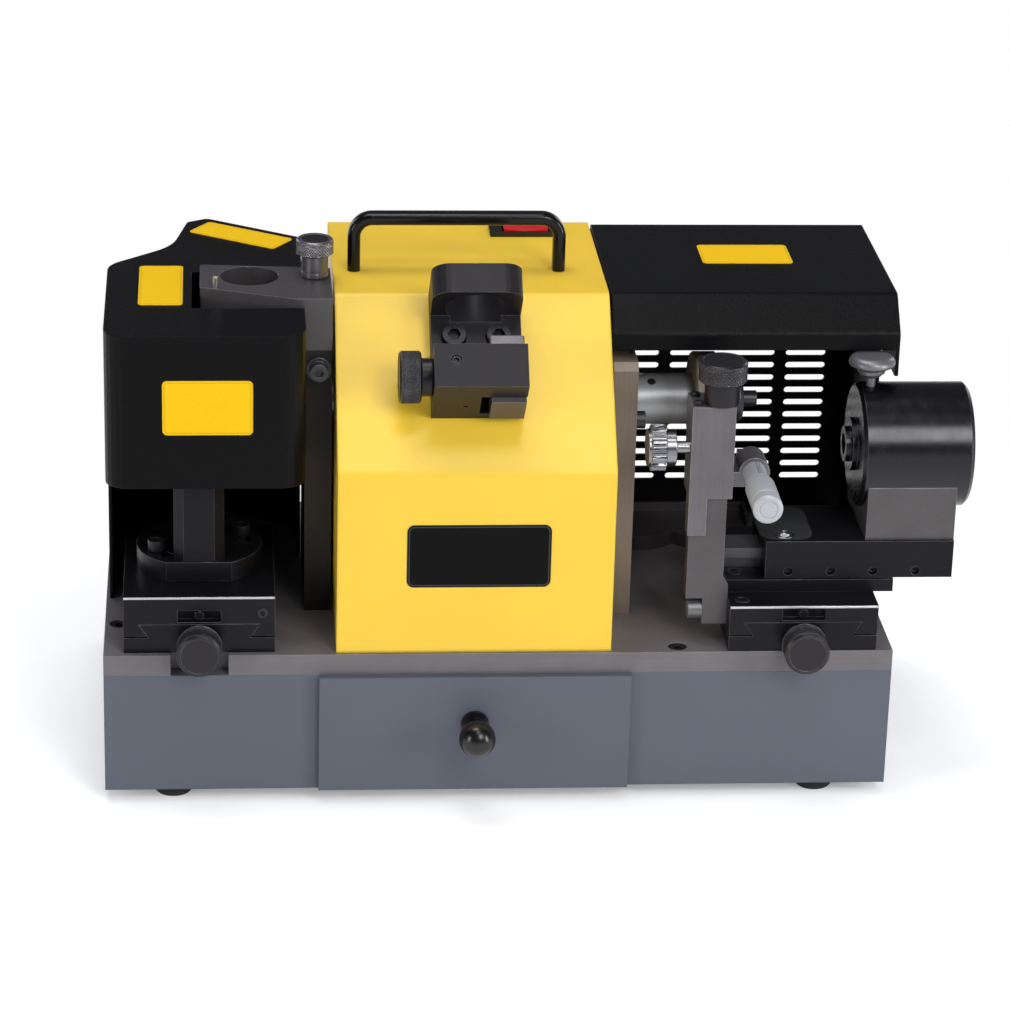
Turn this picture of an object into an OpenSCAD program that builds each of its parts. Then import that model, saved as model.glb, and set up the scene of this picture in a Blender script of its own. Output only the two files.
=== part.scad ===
// Bench tool and cutter grinder: a steel cabinet with a drawer, a motor under a sloped hood,
// a guarded wheel for end teeth on the left and a slide with an indexing sleeve on the right.
// Drawn about the middle of the plate's front edge, then moved so that the floor is z = 0.

/* [Base] */
// Width of the cabinet and of the plate on it
base_w = 440; // [430:1:470]
// Depth of the cabinet and of the plate
base_d = 225; // [222:1:260]
// Height of the cabinet box
cabinet_h = 70; // [62:1:90]
// Sheet thickness of the cabinet
cabinet_wall = 2.5; // [1.5:0.1:3.5]
// Width of the in-turned lip that the plate is screwed to
cabinet_lip = 16; // [14:1:24]
// Thickness of the steel plate
plate_t = 12; // [10:0.5:18]
// Diameter of a rubber foot
foot_d = 21; // [14:1:30]
// Height of a rubber foot
foot_h = 8; // [5:0.5:14]
// Foot centre, in from the side of the cabinet
foot_inset_x = 38; // [25:1:60]
// Foot centre, in from the front or back of the cabinet
foot_inset_y = 17; // [16:1:40]
// Thread of the plate's cap screws
plate_screw_d = 6; // [5:1:8]
// Plate screw centre, in from the edge of the plate
plate_screw_inset = 8; // [8:0.5:9]
// Width of the knob notch in the plate's front edge
notch_w = 32; // [28:1:40]
// Depth of the knob notch
notch_d = 10; // [6:1:14]
// Length of the cable gland behind the cabinet
gland_l = 10; // [6:1:20]
// Diameter of the cable gland's nut
gland_d = 20; // [16:1:26]

/* [Drawer] */
// Width of the drawer's front panel
drawer_w = 174; // [150:1:200]
// Middle of the drawer, from the middle of the base
drawer_x = -14; // [-30:1:10]
// Thickness of the drawer's front panel
drawer_front_t = 4; // [3:0.5:6]
// Depth of the drawer's box
drawer_l = 190; // [150:1:205]
// Height of the drawer's box
drawer_box_h = 46; // [36:1:48]
// Sheet thickness of the drawer's box
drawer_wall = 1.5; // [1:0.1:3]
// Overlap of the front panel past the box on each side
drawer_overlap = 8; // [6:1:12]
// Diameter of the ball knob
drawer_knob_d = 20.5; // [16:0.5:26]
// Ball centre, in front of the drawer panel
drawer_knob_reach = 20; // [16:0.5:26]
// Ball centre, below the plate's top
drawer_knob_drop = 41; // [36:1:50]

/* [Motor hood] */
// Width of the hood
hood_w = 153; // [140:1:165]
// Middle of the hood, from the middle of the base
hood_x = -15; // [-20:1:-10]
// Hood front, behind the plate's front edge
hood_front = 2; // [0:0.5:8]
// Depth of the hood
hood_d = 208; // [200:1:212]
// Height of the hood above the plate
hood_h = 184.5; // [180:0.5:200]
// Height of the bend at the foot of the slope
hood_knee = 106.5; // [95:0.5:115]
// Depth of the slope, front to back
hood_slope_d = 75.5; // [70:0.5:85]
// Sheet thickness of the hoods and the guard
sheet_t = 2; // [1.2:0.1:3]
// Outside radius of a bend in the sheet
bend_r = 5; // [3.5:0.5:8]
// Gap between a hood and the bearing casting beside it
casting_gap = 1.5; // [0.5:0.1:3]

/* [Handle and switch] */
// Distance between the middles of the handle's legs
handle_span = 116; // [100:1:125]
// Middle of the handle, from the hood's middle
handle_dx = -6.5; // [-8:0.5:8]
// Height of the handle above the hood
handle_h = 34; // [30:0.5:50]
// Thickness of the handle bar, seen from the front
handle_t = 7.2; // [6:0.2:11]
// Depth of the handle bar, front to back
handle_d = 10; // [8:0.5:14]
// Outside radius of the handle's corners
handle_r = 14; // [12:0.5:15]
// Handle, behind the plate's front edge
handle_y = 119.5; // [105:0.5:130]
// Length of the switch's bezel
switch_l = 42; // [36:1:48]
// Depth of the switch's bezel
switch_d = 18; // [16:0.5:22]
// Length of the red rocker
rocker_l = 26; // [22:0.5:28]
// Switch middle, in from the hood's right side
switch_dx = 38.5; // [32:0.5:46]
// Switch middle, in front of the hood's back
switch_back = 23; // [18:1:30]

/* [Spindle] */
// Spindle centre, behind the plate's front edge
spindle_y = 100; // [97:0.5:104]
// Spindle centre, above the plate
spindle_z = 113.5; // [110:0.5:116]
// Diameter of the spindle
spindle_d = 20; // [16:1:22]
// Outside diameter of a spindle bearing
bearing_od = 42; // [38:1:47]
// Width of a spindle bearing
bearing_w = 12; // [9:1:14]
// Thickness of the left casting
casting_left_t = 15; // [14:0.5:18]
// Thickness of the right casting
casting_right_t = 14; // [13.5:0.5:22]
// Front-to-back width of the left casting
casting_left_w = 78; // [70:1:84]
// Front-to-back width of the right casting
casting_right_w = 93; // [88:1:100]
// Height of the left casting above its bearing
casting_left_h = 22.5; // [18:0.5:26]
// Height of the right casting above its bearing
casting_right_h = 16.5; // [13:0.5:20]
// Outside diameter of the motor
motor_d = 116; // [100:1:120]
// Room between the motor's frame and the hood's side
motor_room = 10.5; // [8:0.5:18]
// Wall of the motor's frame
motor_wall = 6; // [4:0.5:8]
// Length of the stator and rotor stacks
stack_l = 80; // [60:1:100]
// Outside diameter of the rotor stack
rotor_d = 60; // [50:1:66]
// Circle of the bearing cap screws on the right casting
cap_screw_pcd = 68; // [62:1:70]

/* [Wheels] */
// Diameter of the left cup wheel
cup_d = 80; // [70:1:86]
// Depth of the left cup wheel
cup_l = 28; // [22:1:32]
// Thickness of the cup's web and rim
cup_wall = 9; // [7:0.5:10]
// Cup wheel, out from the left casting
cup_reach = 10; // [6:0.5:12]
// Diameter of the right arbor
arbor_d = 29; // [25:0.5:32]
// Length of the right arbor up to the wheel
arbor_l = 35.4; // [26:0.2:38]
// Diameter of the seat that carries the right wheel
wheel_seat_d = 16; // [12:1:18]
// Diameter of the right wheel
wheel_d = 54; // [46:1:56]
// Thickness of the right wheel
wheel_t = 14; // [8:0.5:16]
// Diameter of the right wheel's nut
wheel_nut_d = 27; // [24:0.5:30]
// Length of the right wheel's nut
wheel_nut_l = 15; // [10:0.5:16]
// Diameter of the stud in the right wheel's nut
stud_d = 9; // [7:0.5:11]
// Length of that stud outside the nut
stud_l = 8.5; // [6:0.5:10]

/* [Left guard and ring] */
// Height of the guard's top above the plate
guard_h = 182; // [178:0.5:184]
// Guard's left side, out past the left slide
guard_inset = 9.2; // [6:0.2:11]
// Guard's front, behind the plate's front edge
guard_front = 13; // [11:0.5:14]
// Height of the guard's lower front edge
guard_mouth = 94; // [90:0.5:100]
// Where the skirt below that edge begins, behind the plate's front edge
guard_skirt = 80; // [70:1:90]
// Radius of the guard's front corners
guard_r = 13; // [8:0.5:18]
// Guard's back tip, in front of the plate's back edge
guard_tip = 5; // [3:0.5:10]
// Ring bore, for a tool holder
ring_bore_d = 33; // [28:0.5:34]
// Ring centre, out from the left casting
ring_reach = 30.5; // [29:0.5:32]
// Thickness of the ring's arm
ring_t = 16; // [12:0.5:18]
// Height of the ring's arm above the left casting
ring_rise = 30; // [28:0.5:32]
// Diameter of the clamp screw's knurled head
clamp_head_d = 21; // [18:0.5:26]
// Diameter of the clamp screw's neck
clamp_neck_d = 15; // [12:0.5:16]
// Height of the clamp screw above the arm
clamp_h = 22; // [18:0.5:30]
// Thread of the clamp screw
clamp_d = 8; // [6:1:10]

/* [Right hood] */
// Right hood's side, out past the right slide
shroud_overhang = 13.4; // [11:0.1:15]
// Right hood's back, behind the plate's front edge
shroud_back = 206; // [195:0.5:212]
// Depth of the sloped lip, front to back
shroud_lip_d = 17.5; // [14:0.5:20]
// Height of the straight edge below the sloped lip
shroud_edge = 9.5; // [6:0.5:11]
// Width of a vent slot
vent_h = 4; // [3:0.2:4.6]
// Distance between the rows of vent slots
vent_pitch = 7.9; // [7.2:0.1:8.2]
// Height of the lowest row of vent slots
vent_z = 24.4; // [18:0.2:30]
// Radius of a lobe of the dust tray
tray_r = 28; // [24:1:30]

/* [Slides] */
// Width of both slides
slide_w = 83.5; // [80:0.5:86]
// Length of both slides
slide_l = 104; // [96:1:108]
// Height of a slide base below its dovetail
slide_base_h = 9; // [8:0.5:10]
// Height of the dovetail
dovetail_h = 8; // [6:0.5:9]
// Width of the dovetail at its foot
dovetail_neck = 56; // [48:1:60]
// Widening of the dovetail on each side
dovetail_flare = 5; // [3:0.5:6]
// Height of the left saddle's top
left_saddle_top = 33.5; // [31:0.5:36]
// Height of the right saddle's top
right_saddle_top = 27; // [25:0.5:29]
// Gap between the left slide and the left casting
left_slide_inset = 17.3; // [15:0.1:20]
// Left slide's front, behind the plate's front edge
left_slide_front = 4; // [2:0.5:6]
// Gap between the right slide and the right casting
right_slide_inset = 50.1; // [43:0.1:53]
// Right slide's front, behind the plate's front edge
right_slide_front = 1; // [0:0.5:3]
// Diameter of a feed screw
feed_d = 8; // [6:1:8]
// Feed screw's centre, above the plate
feed_z = 6; // [5.5:0.1:7]
// Diameter of a feed knob
feed_knob_d = 25; // [20:0.5:30]
// Length of a feed knob
feed_knob_l = 15; // [10:0.5:20]
// Gap between a feed knob and its slide
feed_neck_l = 4; // [2:0.5:8]
// Length of a feed nut
feed_nut_l = 16; // [12:1:24]

/* [Left swivel] */
// Radius of the swivel plate
swivel_r = 35; // [33:0.5:37]
// Thickness of the swivel plate
swivel_t = 11; // [8:0.5:14]
// Front flat of the swivel plate, from its centre
swivel_flat = 30; // [28:0.5:31]
// Swivel centre, behind the slide's front
swivel_dy = 52; // [48:0.5:56]
// Radius of the clamp slots
swivel_slot_r = 26; // [25:0.5:27]
// Swing of the swivel plate to each side
swivel_swing = 15; // [10:1:16]
// Width of the post
post_w = 28; // [24:0.5:29]
// Width of the post's front face
post_face_w = 17; // [14:0.5:20]
// Depth of the post
post_d = 33; // [28:0.5:36]
// Height of the post's lower part
post_h = 47; // [44:0.5:48]
// Height of the set-back head on the post
post_head_h = 18; // [12:0.5:20]

/* [Cross slide and sleeve] */
// Width of the cross plate
cross_w = 94.5; // [90:0.5:97]
// Front of the cross plate, behind the right slide's front
cross_front = 20; // [18:0.5:24]
// Depth of the cross plate
cross_d = 79; // [72:1:82]
// Thickness of the cross plate
cross_t = 7.5; // [6:0.5:9]
// Width of the rail's top
rail_w = 20; // [16:0.5:22]
// Height of the rail
rail_h = 12; // [10:0.5:14]
// Undercut of the rail on each side
rail_undercut = 2; // [1:0.2:3]
// Length of the carriage bar
carriage_l = 106; // [100:1:112]
// Carriage bar's left end, from the left of the right slide
carriage_dx = 21.5; // [18:0.5:26]
// Depth of the carriage bar
carriage_d = 54; // [48:1:60]
// Height of the carriage bar
carriage_h = 22; // [20:0.5:24]
// Width of the cradle block
cradle_w = 50; // [44:0.5:54]
// Depth of the cradle block
cradle_d = 64; // [54:1:66]
// Height of the cradle block
cradle_h = 32; // [28:0.5:33]
// Outside diameter of the sleeve
sleeve_d = 70; // [66:0.5:72]
// Bore of the sleeve
sleeve_bore_d = 34; // [30:0.5:36]
// Length of the sleeve
sleeve_l = 62.5; // [58:0.5:72]
// Sleeve centre, above the carriage bar
sleeve_rise = 45.5; // [44:0.5:47]
// Sleeve centre, behind the front of the carriage bar
sleeve_dy = 34; // [32:0.5:36]
// Length of the chuck's nose
nose_l = 6; // [5:0.5:15]
// Diameter of the chuck's nose
nose_d = 30; // [26:0.5:32]
// Bore of the chuck, for the tool shank
chuck_bore_d = 12; // [6:0.5:14]
// Diameter of the index pin
pin_d = 5; // [4:0.2:5.4]
// Diameter of the index pin's head
pin_head_d = 26; // [22:0.5:27]
// Thickness of the index pin's head
pin_head_h = 6.5; // [5:0.5:7]
// Index pin, in from the sleeve's left end
pin_inset = 7.2; // [4:0.1:9]
// Lift of the index pin out of its notch, as it is drawn
pin_lift = 5; // [3:0.5:5]
// Number of index notches in the chuck
notches = 12; // [12:12:24]

/* [Tooth rest] */
// Width of the rest block
rest_w = 24; // [23:0.5:26]
// Depth of the rest block
rest_d = 24; // [23:0.5:27]
// Rest block's front, behind the right slide's front
rest_front = 11; // [9:0.5:13]
// Height of the rest block's top
rest_top = 141; // [138:0.5:144]
// Height of the rest block's underside on the right
rest_bottom = 87; // [86:0.5:90]
// Height of the lower end of the rest block's left leg
rest_leg = 65; // [64:0.5:68]
// Travel of the rest block, upwards
rest_travel = 12; // [4:0.5:14]
// Height of the lower end of the stand
stand_bottom = 11; // [10.5:0.5:14]
// Depth of the stand
stand_d = 10; // [9:0.5:11]
// Diameter of the height knob
height_knob_d = 27; // [22:0.5:32]
// Thickness of the height knob's head
height_knob_h = 12; // [8:0.5:15]
// Diameter of the height knob's neck
height_neck_d = 19.5; // [16:0.5:20]
// Length of the height knob's neck
height_neck_l = 13; // [8:0.5:16]
// Micrometer's centre, out from the rest block's right side
mic_dx = 12; // [11:0.5:14]
// Micrometer's centre, above the plate
mic_z = 102; // [100:0.5:104]
// Diameter of the thimble
thimble_d = 16.5; // [15:0.5:19]
// Length of the thimble
thimble_l = 36; // [30:1:42]
// Diameter of the barrel
barrel_d = 13; // [11:0.5:13.5]
// Length of bare barrel between thimble and lug
barrel_bare = 19; // [12:0.5:22]
// Diameter of the micrometer's spindle
mic_spindle_d = 6; // [4:0.5:7]
// Diameter of the fluted lock knob
lock_knob_d = 26; // [22:0.5:28]
// Length of the fluted lock knob
lock_knob_l = 14; // [10:0.5:16]
// Number of flutes on the lock knob
flutes = 16; // [12:1:20]
// Length of the lock knob's brass stem
lock_stem_l = 8; // [6:0.5:10]
// Diameter of the lock knob's brass stem
lock_stem_d = 7; // [5:0.5:8]

/* [Tool setter] */
// Width of the ring block
setter_w = 50; // [46:0.5:54]
// Setter's middle, from the hood's middle
setter_dx = 0.5; // [-3:0.5:3]
// Bore of the ring
setter_bore_d = 34; // [30:0.5:35]
// Thickness of the ring, along the slope
setter_ring_t = 17.5; // [14:0.5:19]
// Height of the ring above the slope
setter_ring_h = 40; // [39:0.5:44]
// Upper end of the ring, along the slope
setter_top = 108; // [104:0.5:110]
// Thickness of the flange
setter_flange_t = 10; // [9:0.5:12]
// Lower end of the gauge block, along the slope
gauge_foot = 33; // [30:0.5:36]
// Length of the gauge block, along the slope
gauge_l = 25.5; // [24:0.5:28]
// Height of the gauge block above the slope
gauge_h = 43; // [40:0.5:46]
// Width of the gauge block
gauge_w = 51; // [48:0.5:54]
// Width of the movable jaw
jaw_w = 19; // [16:0.5:20]
// Opening beside the jaw
jaw_gap = 5.5; // [4.5:0.5:7]
// Jaw, out past the foot of the gauge block
jaw_proud = 3; // [1.5:0.5:8]
// Diameter of the setter's knob
setter_knob_d = 29; // [24:0.5:32]
// Length of the setter's knob
setter_knob_l = 12; // [8:0.5:14]
// Length of the knob's neck
setter_neck_l = 6; // [4:0.5:8]
// Diameter of the knob's neck
setter_neck_d = 21; // [16:0.5:22]
// Thread of the setter's two cap screws
setter_screw_d = 8; // [6:1:8]
// Distance between those screws
setter_screw_gap = 24.5; // [22:0.5:28]

/* [Clearances] */
// Gap between sliding or swinging faces
slide_gap = 0.3; // [0.25:0.05:0.5]
// Radial gap of a running fit
run_gap = 0.05; // [0.02:0.01:0.1]
// Radial gap of a fixed seat
seat_gap = 0.02; // [0.01:0.01:0.05]
// Radial gap round a bolt in a clear hole
bolt_gap = 0.3; // [0.2:0.05:0.6]

/* [Hidden] */
$fn = 64;

// Base
cabinet_top = -plate_t;
cabinet_bottom = cabinet_top - cabinet_h;
floor_z = cabinet_bottom - foot_h;
plate_head_gap = 1;
plate_head_sink = 0.5;
plate_screw_seat = -plate_screw_d - plate_head_sink;
plate_screw_front_x = 99.4;
plate_screw_side_y = 44;
plate_screws_at = [
    [-base_w / 2 + plate_screw_inset, plate_screw_side_y],
    [plate_screw_front_x, plate_screw_inset],
    [-base_w / 2 + plate_screw_inset, base_d - plate_screw_side_y],
    [base_w / 2 - plate_screw_inset, base_d - plate_screw_side_y],
    [hood_x, base_d - plate_screw_inset]
];
gland_x = -base_w / 4;
gland_z = cabinet_bottom + cabinet_h / 2;
gland_hole_d = 12;
gland_cap_d = gland_d - 4;

// Drawer
drawer_margin = 0.5;
drawer_lift = 2.5;
drawer_z0 = cabinet_bottom + cabinet_wall + drawer_lift;
drawer_mouth_side = 1.5;
drawer_mouth_foot = 0.8;
drawer_box_w = drawer_w - 2 * drawer_overlap;
drawer_back = drawer_l - slide_gap;
runner_t = drawer_z0 - slide_gap - cabinet_bottom - cabinet_wall;
runner_h = 20;
runner_ledge = 8;
runner_wall = 3;
ball_y = -slide_gap - drawer_front_t - drawer_knob_reach;

// Motor hood: corner points in y and z
hood_x0 = hood_x - hood_w / 2;
hood_x1 = hood_x + hood_w / 2;
hood_back = hood_front + hood_d;
hood_bend = hood_front + hood_slope_d;
hood_outline = [
    [hood_front, 0], [hood_back, 0], [hood_back, hood_h], [hood_bend, hood_h], [hood_front, hood_knee]
];
hood_bends = [0, 0, bend_r, bend_r, bend_r];
slope_angle = atan2(hood_h - hood_knee, hood_slope_d);
bearing_housing = 8;
hood_slot_r = bearing_od / 2 + bearing_housing;

// Handle and switch
switch_x = hood_x1 - switch_dx;
switch_y = hood_back - switch_back;
switch_lip = 2.5;
switch_body_h = 12;
switch_rim = 2;
rocker_gap = 0.8;
rocker_side = 0.9;
rocker_taper = 1.5;
rocker_sink = 1.5;
rocker_d = switch_d - 2 * (switch_rim + rocker_side + slide_gap);
rocker_well = 9;
rocker_foot = 4.6;
rocker_rise = 3;
rocker_dip = 1.6;
rocker_pivot_z = hood_h + switch_lip - rocker_sink;

// Spindle
left_face = hood_x0 - casting_gap - casting_left_t;
left_inner = left_face + casting_left_t;
right_inner = hood_x1 + casting_gap;
right_face = right_inner + casting_right_t;
spindle_clear = 0.6;
shoulder_step = 4;
shoulder_d = spindle_d + 2 * shoulder_step;
motor_l = hood_w - 2 * (sheet_t + motor_room);
motor_x0 = hood_x - motor_l / 2;
stack_x0 = hood_x - stack_l / 2;
air_gap = 0.7;
pedestal_w = stack_l + 10;
pedestal_d = 70;
bearing_left_x = left_face + (casting_left_t - bearing_w) / 2;
bearing_right_x = right_inner + (casting_right_t - bearing_w) / 2;
casting_screw_d = 6;
casting_screw_l = 10;
washer_d = 14;
washer_t = 1.6;
casting_left_top = spindle_z + bearing_od / 2 + casting_left_h;
casting_right_top = spindle_z + bearing_od / 2 + casting_right_h;
front_screw_drop = 11;
front_screw_z = casting_left_top - front_screw_drop;

// Wheels
cup_x1 = left_face - cup_reach;
cup_x0 = cup_x1 - cup_l;
cup_nut_l = 10;
cup_nut_d = spindle_d * 1.5;
spindle_proud = 2;
spindle_x0 = cup_x1 - cup_wall - cup_nut_l - spindle_proud;
arbor_x0 = right_face + spindle_clear;
wheel_x0 = arbor_x0 + arbor_l;
arbor_end = 4;
spindle_x1 = wheel_x0 - arbor_end;
seat_x1 = wheel_x0 + wheel_t + wheel_nut_l / 2;
set_screw_d = 5;
set_screw_inset = 6.5;
set_screw_x = arbor_x0 + set_screw_inset;

// Left guard and ring: plan points in x and y
left_slide_x = left_face - left_slide_inset - slide_w / 2;
guard_x0 = left_slide_x - slide_w / 2 - guard_inset;
guard_gap = 0.5;
guard_x1 = left_face - guard_gap;
guard_back = base_d - guard_tip;
guard_right_l = 35;
guard_tip_w = 56;
guard_heel = [44.5, 7];
guard_waist = [36, 52];
guard_left_l = 86;
guard_back_r = 4;
guard_waist_r = 40;
guard_left_r = 20;
guard_outline = [
    [guard_x0, guard_front], [guard_x1, guard_front], [guard_x1, guard_back - guard_right_l],
    [guard_x0 + guard_tip_w, guard_back], [guard_x0 + guard_heel[0], guard_back - guard_heel[1]],
    [guard_x0 + guard_waist[0], guard_back - guard_waist[1]], [guard_x0, guard_back - guard_left_l]
];
guard_bends = [1, 1, 1, 1, 1, -1, 1];
guard_corners = [guard_r, guard_r, guard_back_r, guard_back_r, guard_back_r, guard_waist_r, guard_left_r];
guard_inner_corners = [for (i = [0 : 6]) guard_corners[i] - guard_bends[i] * sheet_t];
casting_left_y = spindle_y - casting_left_w / 2;
casting_right_y = spindle_y - casting_right_w / 2;
ring_x = left_face - ring_reach;
ring_y = spindle_y;
ring_top = casting_left_top + ring_rise;
ring_wall = 11;
ring_end = ring_x - ring_bore_d / 2 - ring_wall;
ring_foot_back = 14;
ring_back = 20;
ring_front = 19.5;
ring_taper = 6;
ring_outline = [
    [left_inner, casting_left_y], [left_inner, ring_y + ring_foot_back], [ring_end, ring_y + ring_back],
    [ring_end, ring_y - ring_front], [left_face - ring_taper, casting_left_y]
];
ring_corners = [1, 1, 2, 2, 3];
ring_slot_gap = 4.5;
ring_slot_front = 1.5;
ring_slot_back = 2;
clamp_inset = 6;
clamp_x = left_face + clamp_inset;
clamp_clear = 2.5;
clamp_foot = spindle_z + bearing_od / 2 + clamp_clear;
clamp_tip_gap = 2;
clamp_head_h = 9;

// Right hood: corner points in y and z
shroud_x0 = hood_x1 + casting_gap;
right_slide_x0 = right_face + right_slide_inset;
shroud_x1 = right_slide_x0 + slide_w + shroud_overhang;
shroud_lip = hood_bend - shroud_lip_d;
shroud_lip_z = hood_h - shroud_lip_d * tan(slope_angle);
shroud_outline = [
    [shroud_lip, 0], [shroud_back, 0], [shroud_back, hood_h], [hood_bend, hood_h], [shroud_lip, shroud_lip_z]
];
vent_rows = 11;
vent_side = 20;
vent_short = 24;
vent_long = 63;
vent_gap = 6.75;
vent_long_x = vent_side + vent_short + vent_gap;
vent_columns = [
    [vent_side, vent_short], [vent_long_x, vent_long], [vent_long_x + vent_long + vent_gap, vent_short]
];
tray_side = 1;
tray_pitch = 43;
tray_back_gap = 0.5;
tray_lobe_back = 2;
tray_x = [shroud_x0 + tray_side + tray_r, shroud_x0 + tray_side + tray_r + tray_pitch];
tray_y = shroud_back - sheet_t - tray_r - tray_lobe_back;
tray_t = 3;
tray_rim = 2.5;
tray_rim_h = 8;

// Slides
dovetail_top = slide_base_h + dovetail_h;
saddle_roof = dovetail_top + slide_gap;
saddle_lift = 1;
saddle_foot = slide_base_h + saddle_lift;
right_slide_x = right_slide_x0 + slide_w / 2;
feed_channel = 14;
feed_wall = 10;
feed_collar_d = 2 * (feed_z - slide_gap);
nut_side_gap = 0.5;
saddle_pocket_w = 24;
saddle_pocket_h = 7;
saddle_pocket_d = 5;
saddle_pocket_z = saddle_roof + 1;
pocket_stud_d = 5;
feed_end_gap = 2;
nut_foot = 0.5;

// Left swivel
swivel_x = left_slide_x;
swivel_y = left_slide_front + swivel_dy;
swivel_z0 = left_saddle_top + slide_gap;
swivel_z1 = swivel_z0 + swivel_t;
swivel_pin_d = 16;
swivel_pin_l = 8;
swivel_screw_d = 6;
swivel_screw_angles = [25, 205];
swivel_screw_depth = 8;
swivel_slot_gap = 0.9;
swivel_slot_w = swivel_screw_d + swivel_slot_gap;
swivel_slot_spare = 9;
swivel_slot_half = swivel_swing + swivel_slot_spare;
post_chamfer = (post_w - post_face_w) / 2;
post_set = 1;
post_y0 = swivel_y - swivel_flat + post_set;
post_head_set = 12;

// Cross slide and sleeve
cross_y0 = right_slide_front + cross_front;
cross_top = right_saddle_top + cross_t;
rail_set = 27;
rail_y = cross_y0 + rail_set;
rail_top = cross_top + rail_h;
rail_half = rail_w / 2;
rail_foot_half = rail_half - rail_undercut;
rail_step_z = cross_top + rail_h / 2;
carriage_x0 = right_slide_x0 + carriage_dx;
carriage_x1 = carriage_x0 + carriage_l;
carriage_lift = 1;
carriage_z0 = cross_top + carriage_lift;
carriage_z1 = carriage_z0 + carriage_h;
gib_hole_d = 5;
gib_hole_gap = 24;
gib_hole_depth = 8;
gib_hole_inset = 13;
gib_hole_drop = 7;
cradle_x0 = carriage_x1 - cradle_w;
sleeve_y = cross_y0 + sleeve_dy;
sleeve_z = carriage_z1 + sleeve_rise;
cradle_y0 = sleeve_y - cradle_d / 2;
sleeve_proud = 4;
sleeve_x0 = cradle_x0 - sleeve_proud;
sleeve_x1 = sleeve_x0 + sleeve_l;
chuck_x0 = sleeve_x0 - nose_l;
chuck_d = sleeve_bore_d - 2 * run_gap;
chuck_back_set = 0.5;
chuck_x1 = sleeve_x1 - chuck_back_set;
nose_step = 5;
nose_tip_d = nose_d - 2 * nose_step;
notch_depth = 3;
pin_x = sleeve_x0 + pin_inset;
pin_foot = sleeve_z + chuck_d / 2 - notch_depth + slide_gap + pin_lift;
pin_stem_d = 16.5;
pin_stem_gap = 0.5;
pin_stem_z = sleeve_z + sleeve_d / 2 + pin_stem_gap + pin_lift;
pin_stem_h = 6;
shroud_cut_back = 28;
shroud_cut_top = 3.5;
shroud_cut_y = cradle_y0 + cradle_d + shroud_cut_back;
shroud_cut_z = sleeve_z + sleeve_d / 2 + shroud_cut_top;

// Tooth rest
rest_gap = 0.5;
rest_x1 = right_slide_x0 - rest_gap;
rest_x0 = rest_x1 - rest_w;
rest_y0 = right_slide_front + rest_front;
rest_y1 = rest_y0 + rest_d;
rest_roof = 3;
stand_set = 2;
stand_y0 = rest_y0 + stand_set;
stand_y1 = stand_y0 + stand_d;
tongue_w = 8.4;
tongue_set = 4.5;
tongue_x0 = rest_x0 + tongue_set;
tongue_spare = 1;
tongue_top = rest_top - rest_roof - tongue_spare;
stand_split = tongue_x0 + 6;
stand_side = 2.5;
stand_x1 = rest_x1 - stand_side;
stand_left = 1;
leg_spare = 1;
stand_low = rest_leg - leg_spare;
column_spare = 1;
stand_column = rest_bottom - column_spare;
stand_foot_h = 15.5;
stand_step = stand_bottom + stand_foot_h;
tongue_foot = stand_step + 14;
stand_flare = 5;
stand_foot_outline = [
    [stand_split, stand_bottom], [right_slide_x0, stand_bottom], [right_slide_x0, cross_top],
    [stand_x1, cross_top + stand_flare], [stand_split, cross_top + stand_flare]
];
height_inset = 7.5;
height_x = rest_x1 - height_inset;
height_y = stand_y0 + stand_d / 2;
height_screw_d = 6;
height_screw_in = 8;
height_screw_foot = stand_column - rest_travel - height_screw_in;
height_hole_foot = height_screw_foot - column_spare;
mic_x = rest_x1 + mic_dx;
lug_set = 2;
lug_l = 18;
lug_y0 = rest_y0 + lug_set;
lug_y1 = lug_y0 + lug_l;
lug_d = 17;
barrel_cover = 13;
barrel_tail = 2;
barrel_y0 = lug_y0 - barrel_bare - thimble_l + barrel_cover;
barrel_y1 = lug_y1 + barrel_tail;
thimble_y1 = lug_y0 - barrel_bare;
thimble_y0 = thimble_y1 - thimble_l;
finger_reach = 5;
finger_y0 = barrel_y1 + finger_reach;
finger_t = 6;
finger_w = 12;
finger_h = 9;
finger_blade_l = 14;
finger_blade_t = 2;
finger_drop = 2;
finger_blade_set = 1;
finger_blade_drop = 3;
mic_travel = 2.5;
lock_inset = 6;
lock_y = rest_y0 + lock_inset;
lock_z = 115.5;
lock_seat = 3;
lock_seat_gap = 0.5;
lock_cap_l = 1.8;
lock_cap_d = lock_knob_d - 5;
lock_hub_d = lock_knob_d - 6;
lock_flute_d = 3.2;
lock_flute_l = 0.6 * lock_knob_l;

// Tool setter: x along the hood, v up the slope, w out of it
setter_x = hood_x + setter_dx;
setter_corner_r = 10;
setter_relief = 4;
setter_ring_v = setter_top - setter_ring_t;
setter_crown = 3.5;
setter_bore_w = setter_ring_h - setter_bore_d / 2 - setter_crown;
setter_screw_set = 19;
setter_screw_v = gauge_foot + gauge_l + setter_screw_set;
setter_sink = 4;
setter_head_gap = 0.5;
gauge_x0 = setter_x - gauge_w / 2;
gauge_x1 = gauge_x0 + gauge_w;
jaw_w0 = 6;
jaw_w1 = 29;
jaw_back = 4;
jaw_side = 0.5;
jaw_v1 = gauge_foot + gauge_l - jaw_back;
jaw_x0 = gauge_x1 - jaw_side - jaw_w;
setter_knob_set = 15;
setter_knob_v = gauge_foot + setter_knob_set;
setter_knob_w = 22;
setter_shaft_d = 6;
small_hole_d = 3;
small_hole_depth = 6;
small_hole_at = [18, 16];
gauge_screw_d = 6;
gauge_screw_depth = 4;
gauge_screw_at = [12, 16];

// Whole part, for its origin under the middle of its box
part_x0 = min(-base_w / 2, guard_x0);
part_x1 = sleeve_x1;
part_y0 = thimble_y0;
part_y1 = base_d + gland_l;

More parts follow.
